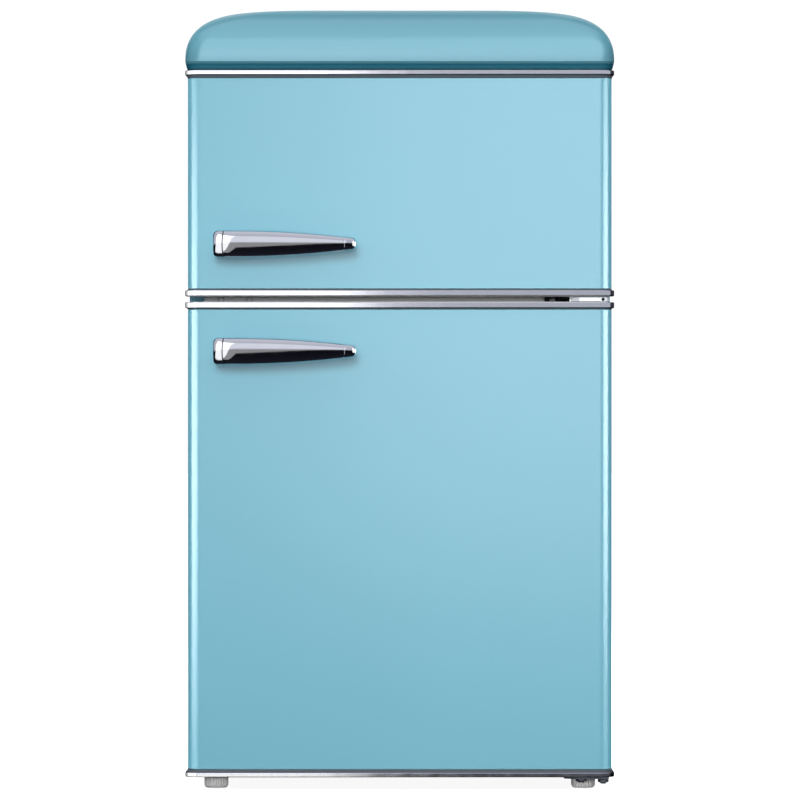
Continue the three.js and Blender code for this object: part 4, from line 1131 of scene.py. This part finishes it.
def area_light(name, at, aim, size, radiance, gloss=True, diffuse=True, only=None):
    """A soft box of the given radiance; only limits it to objects whose material is listed."""
    data = bpy.data.lights.new(name, "AREA")
    data.shape = "RECTANGLE"
    data.size, data.size_y = size
    data.energy = radiance * math.pi * size[0] * size[1]
    light = bpy.data.objects.new(name, data)
    light.location = at
    light.rotation_euler = (Vector(aim) - Vector(at)).to_track_quat("-Z", "Y").to_euler()
    light.visible_glossy = gloss
    light.visible_diffuse = diffuse
    bpy.context.scene.collection.objects.link(light)
    if only:
        group = bpy.data.collections.new(f"{name}_group")
        for obj in bpy.data.objects:
            if obj.type == "MESH" and obj.data.materials and obj.data.materials[0] in only:
                group.objects.link(obj)
        light.light_linking.receiver_collection = group
    return light


def sheen(name, at, aim, size, radiance, only):
    """A light that is only mirrored, on the listed materials."""
    return area_light(name, at, aim, size, radiance, diffuse=False, only=only)


def fill(name, at, aim, size, radiance, only=None):
    """A light that shades surfaces but isn't mirrored in them."""
    return area_light(name, at, aim, size, radiance, gloss=False, only=only)


def make_world():
    """Pale overhead, dark underfoot and behind, with the horizon a little below level."""
    world = bpy.data.worlds.new("studio")
    bpy.context.scene.world = world
    world.use_nodes = True
    tree = world.node_tree
    where = tree.nodes.new("ShaderNodeTexCoord")
    split = tree.nodes.new("ShaderNodeSeparateXYZ")
    tree.links.new(where.outputs["Generated"], split.inputs["Vector"])

    def graded(axis, stops):
        shift = tree.nodes.new("ShaderNodeMath")
        shift.operation = "MULTIPLY_ADD"
        shift.inputs[1].default_value = 0.5
        shift.inputs[2].default_value = 0.5
        ramp = tree.nodes.new("ShaderNodeValToRGB")
        tree.links.new(split.outputs[axis], shift.inputs[0])
        tree.links.new(shift.outputs["Value"], ramp.inputs["Fac"])
        for k, (position, colour) in enumerate(stops):
            stop = ramp.color_ramp.elements[k] if k < 2 else ramp.color_ramp.elements.new(position)
            stop.position = position
            stop.color = (*colour, 1)
        return ramp.outputs["Color"]

    height = graded(
        "Z",
        [
            (0.0, (0.012, 0.012, 0.018)),
            (0.482, (0.003, 0.003, 0.006)),
            (0.494, (0.46, 0.48, 0.55)),
            (0.62, (0.46, 0.47, 0.55)),
            (1.0, (0.62, 0.63, 0.70)),
        ],
    )
    white, dim = (1, 1, 1), (0.07, 0.07, 0.08)
    behind = graded("Y", [(0.0, white), (0.52, white), (0.6, dim), (1.0, dim)])
    mix = tree.nodes.new("ShaderNodeMix")
    mix.data_type = "RGBA"
    mix.blend_type = "MULTIPLY"
    mix.inputs["Factor"].default_value = 1.0
    tree.links.new(height, mix.inputs["A"])
    tree.links.new(behind, mix.inputs["B"])
    background = tree.nodes["Background"]
    tree.links.new(mix.outputs["Result"], background.inputs["Color"])
    background.inputs["Strength"].default_value = 1.0


make_camera()
make_stage()
make_world()

DOORS = (AQUA,)
CAP = (AQUA_CAP,)
TRIMS = (TRIM_CHROME,)
HANDLES = (CHROME,)
REAR = (GALVANISED, STEEL, BLACK_ENAMEL, BLACK_PLASTIC, COPPER, ALUMINIUM, AQUA_BODY_PAINTED_SHEEN)
INSIDE = (WHITE_ABS, WHITE_METAL, RUBBER)
MIDDLE = (0, 0, 0.5)
LOW_MIDDLE = (0, 0, 0.4)
CROWN = (0, 0, 0.85)
SEAM_AIM = (0, 0, 0.55)
HANDLE_AIM = (-0.13, -0.25, 0.55)
HANDLE_ROLL = math.radians(-25)

# General light from the front, above and behind.
fill("key", (-1.7, -14.0, 5.3), MIDDLE, (4.7, 4.1), 17.4)
fill("overhead", (0, -0.5, 3.4), CROWN, (3.0, 3.0), 0.3)
for side, x, z, radiance in (("left", -2.6, 2.6, 18.0), ("right", 2.6, 2.3, 16.0)):
    fill(f"back_{side}", (x, 3.4, z), LOW_MIDDLE, (1.6, 1.6), radiance)
    sheen(f"back_{side}_sheen", (x, 3.4, z), LOW_MIDDLE, (1.6, 1.6), radiance, REAR)
# Fill for the foot of the doors, the sides and the rooms.
fill("door_low", (0, -1.2, -0.2), (0, -0.22, 0.2), (2.0, 0.4), 0.85, DOORS)
fill("side_left", (-5.0, 0.3, 2.2), LOW_MIDDLE, (3.0, 3.0), 4.2, (AQUA, AQUA_BODY_PAINTED_SHEEN))
fill("side_right", (5.0, 0.3, 2.2), LOW_MIDDLE, (3.0, 3.0), 4.2, (AQUA, AQUA_BODY_PAINTED_SHEEN))
fill("inside", (0.4, -6.0, 1.4), MIDDLE, (3.0, 3.0), 7.0, INSIDE)
# The sheen of the paint: a broad veil from the front, and a tall box at either side.
sheen("veil_wide", (0, -3.0, 0.85), CROWN, (3.2, 1.5), 3.3, DOORS + CAP)
sheen("veil_right", (0.6, -3.3, 0.9), (0.6, 0, 0.9), (1.6, 1.5), 3.9, DOORS)
sheen("left_box", (-2.3, -1.45, 0.42), (-0.24, -0.22, 0.42), (2.6, 0.72), 18.0, DOORS)
sheen("right_box", (2.4, -1.2, 0.5), (0.24, -0.22, 0.5), (2.0, 0.7), 18.0, DOORS)
sheen("cap_front", (0.7, -2.2, 2.4), (0.3, 0, 0.85), (3.4, 2.6), 3.9, CAP)
sheen("cap_above", (0, 0.3, 3.2), (0, 0.3, 0.85), (3.2, 3.0), 1.1, CAP)
sheen("cap_back", (0, 4.0, 2.0), CROWN, (5.0, 1.6), 0.6, CAP)
# What the bright trims and the handles mirror.
sheen("trim_front", (-1.75, -3.0, 0.5), (-1.75, 0, 0.5), (3.3, 1.4), 1.25, TRIMS)
sheen("trim_side", (-2.6, -0.9, 0.5), (-0.24, -0.22, 0.5), (3.4, 1.4), 1.25, TRIMS)
sheen("trim_left_end", (-3.0, 1.2, 0.5), (-0.24, -0.2, 0.5), (2.2, 1.4), 0.7, TRIMS)
for name, at, size, radiance in (
    ("handle_left", (-1.35, -2.05, 0.55), (1.7, 2.4), 0.8),
    ("handle_left_soft", (-1.2, -2.4, 0.55), (2.3, 2.4), 0.28),
):
    sheen(name, at, HANDLE_AIM, size, radiance, HANDLES).rotation_euler.rotate_axis("Z", HANDLE_ROLL)
sheen("handle_right", (1.6, -1.0, 0.6), HANDLE_AIM, (0.5, 0.9), 2.4, HANDLES)
# Low light that reaches into the seam and under the doors.
area_light("seam_strip", (0, -4.0, 0.66), SEAM_AIM, (2.0, 0.4), 18.0, only=(STRIP,))
area_light("seam_white", (0, -4.0, 0.62), SEAM_AIM, (2.0, 0.5), 40.0, only=(HINGE_WHITE,))
area_light("low", (0, -3.0, 0.2), (0, 0, 0.01), (2.4, 0.4), 20.0, only=(FOOT_GREY,))

scene = bpy.context.scene
scene.view_settings.view_transform = "Standard"
scene.view_settings.look = "None"
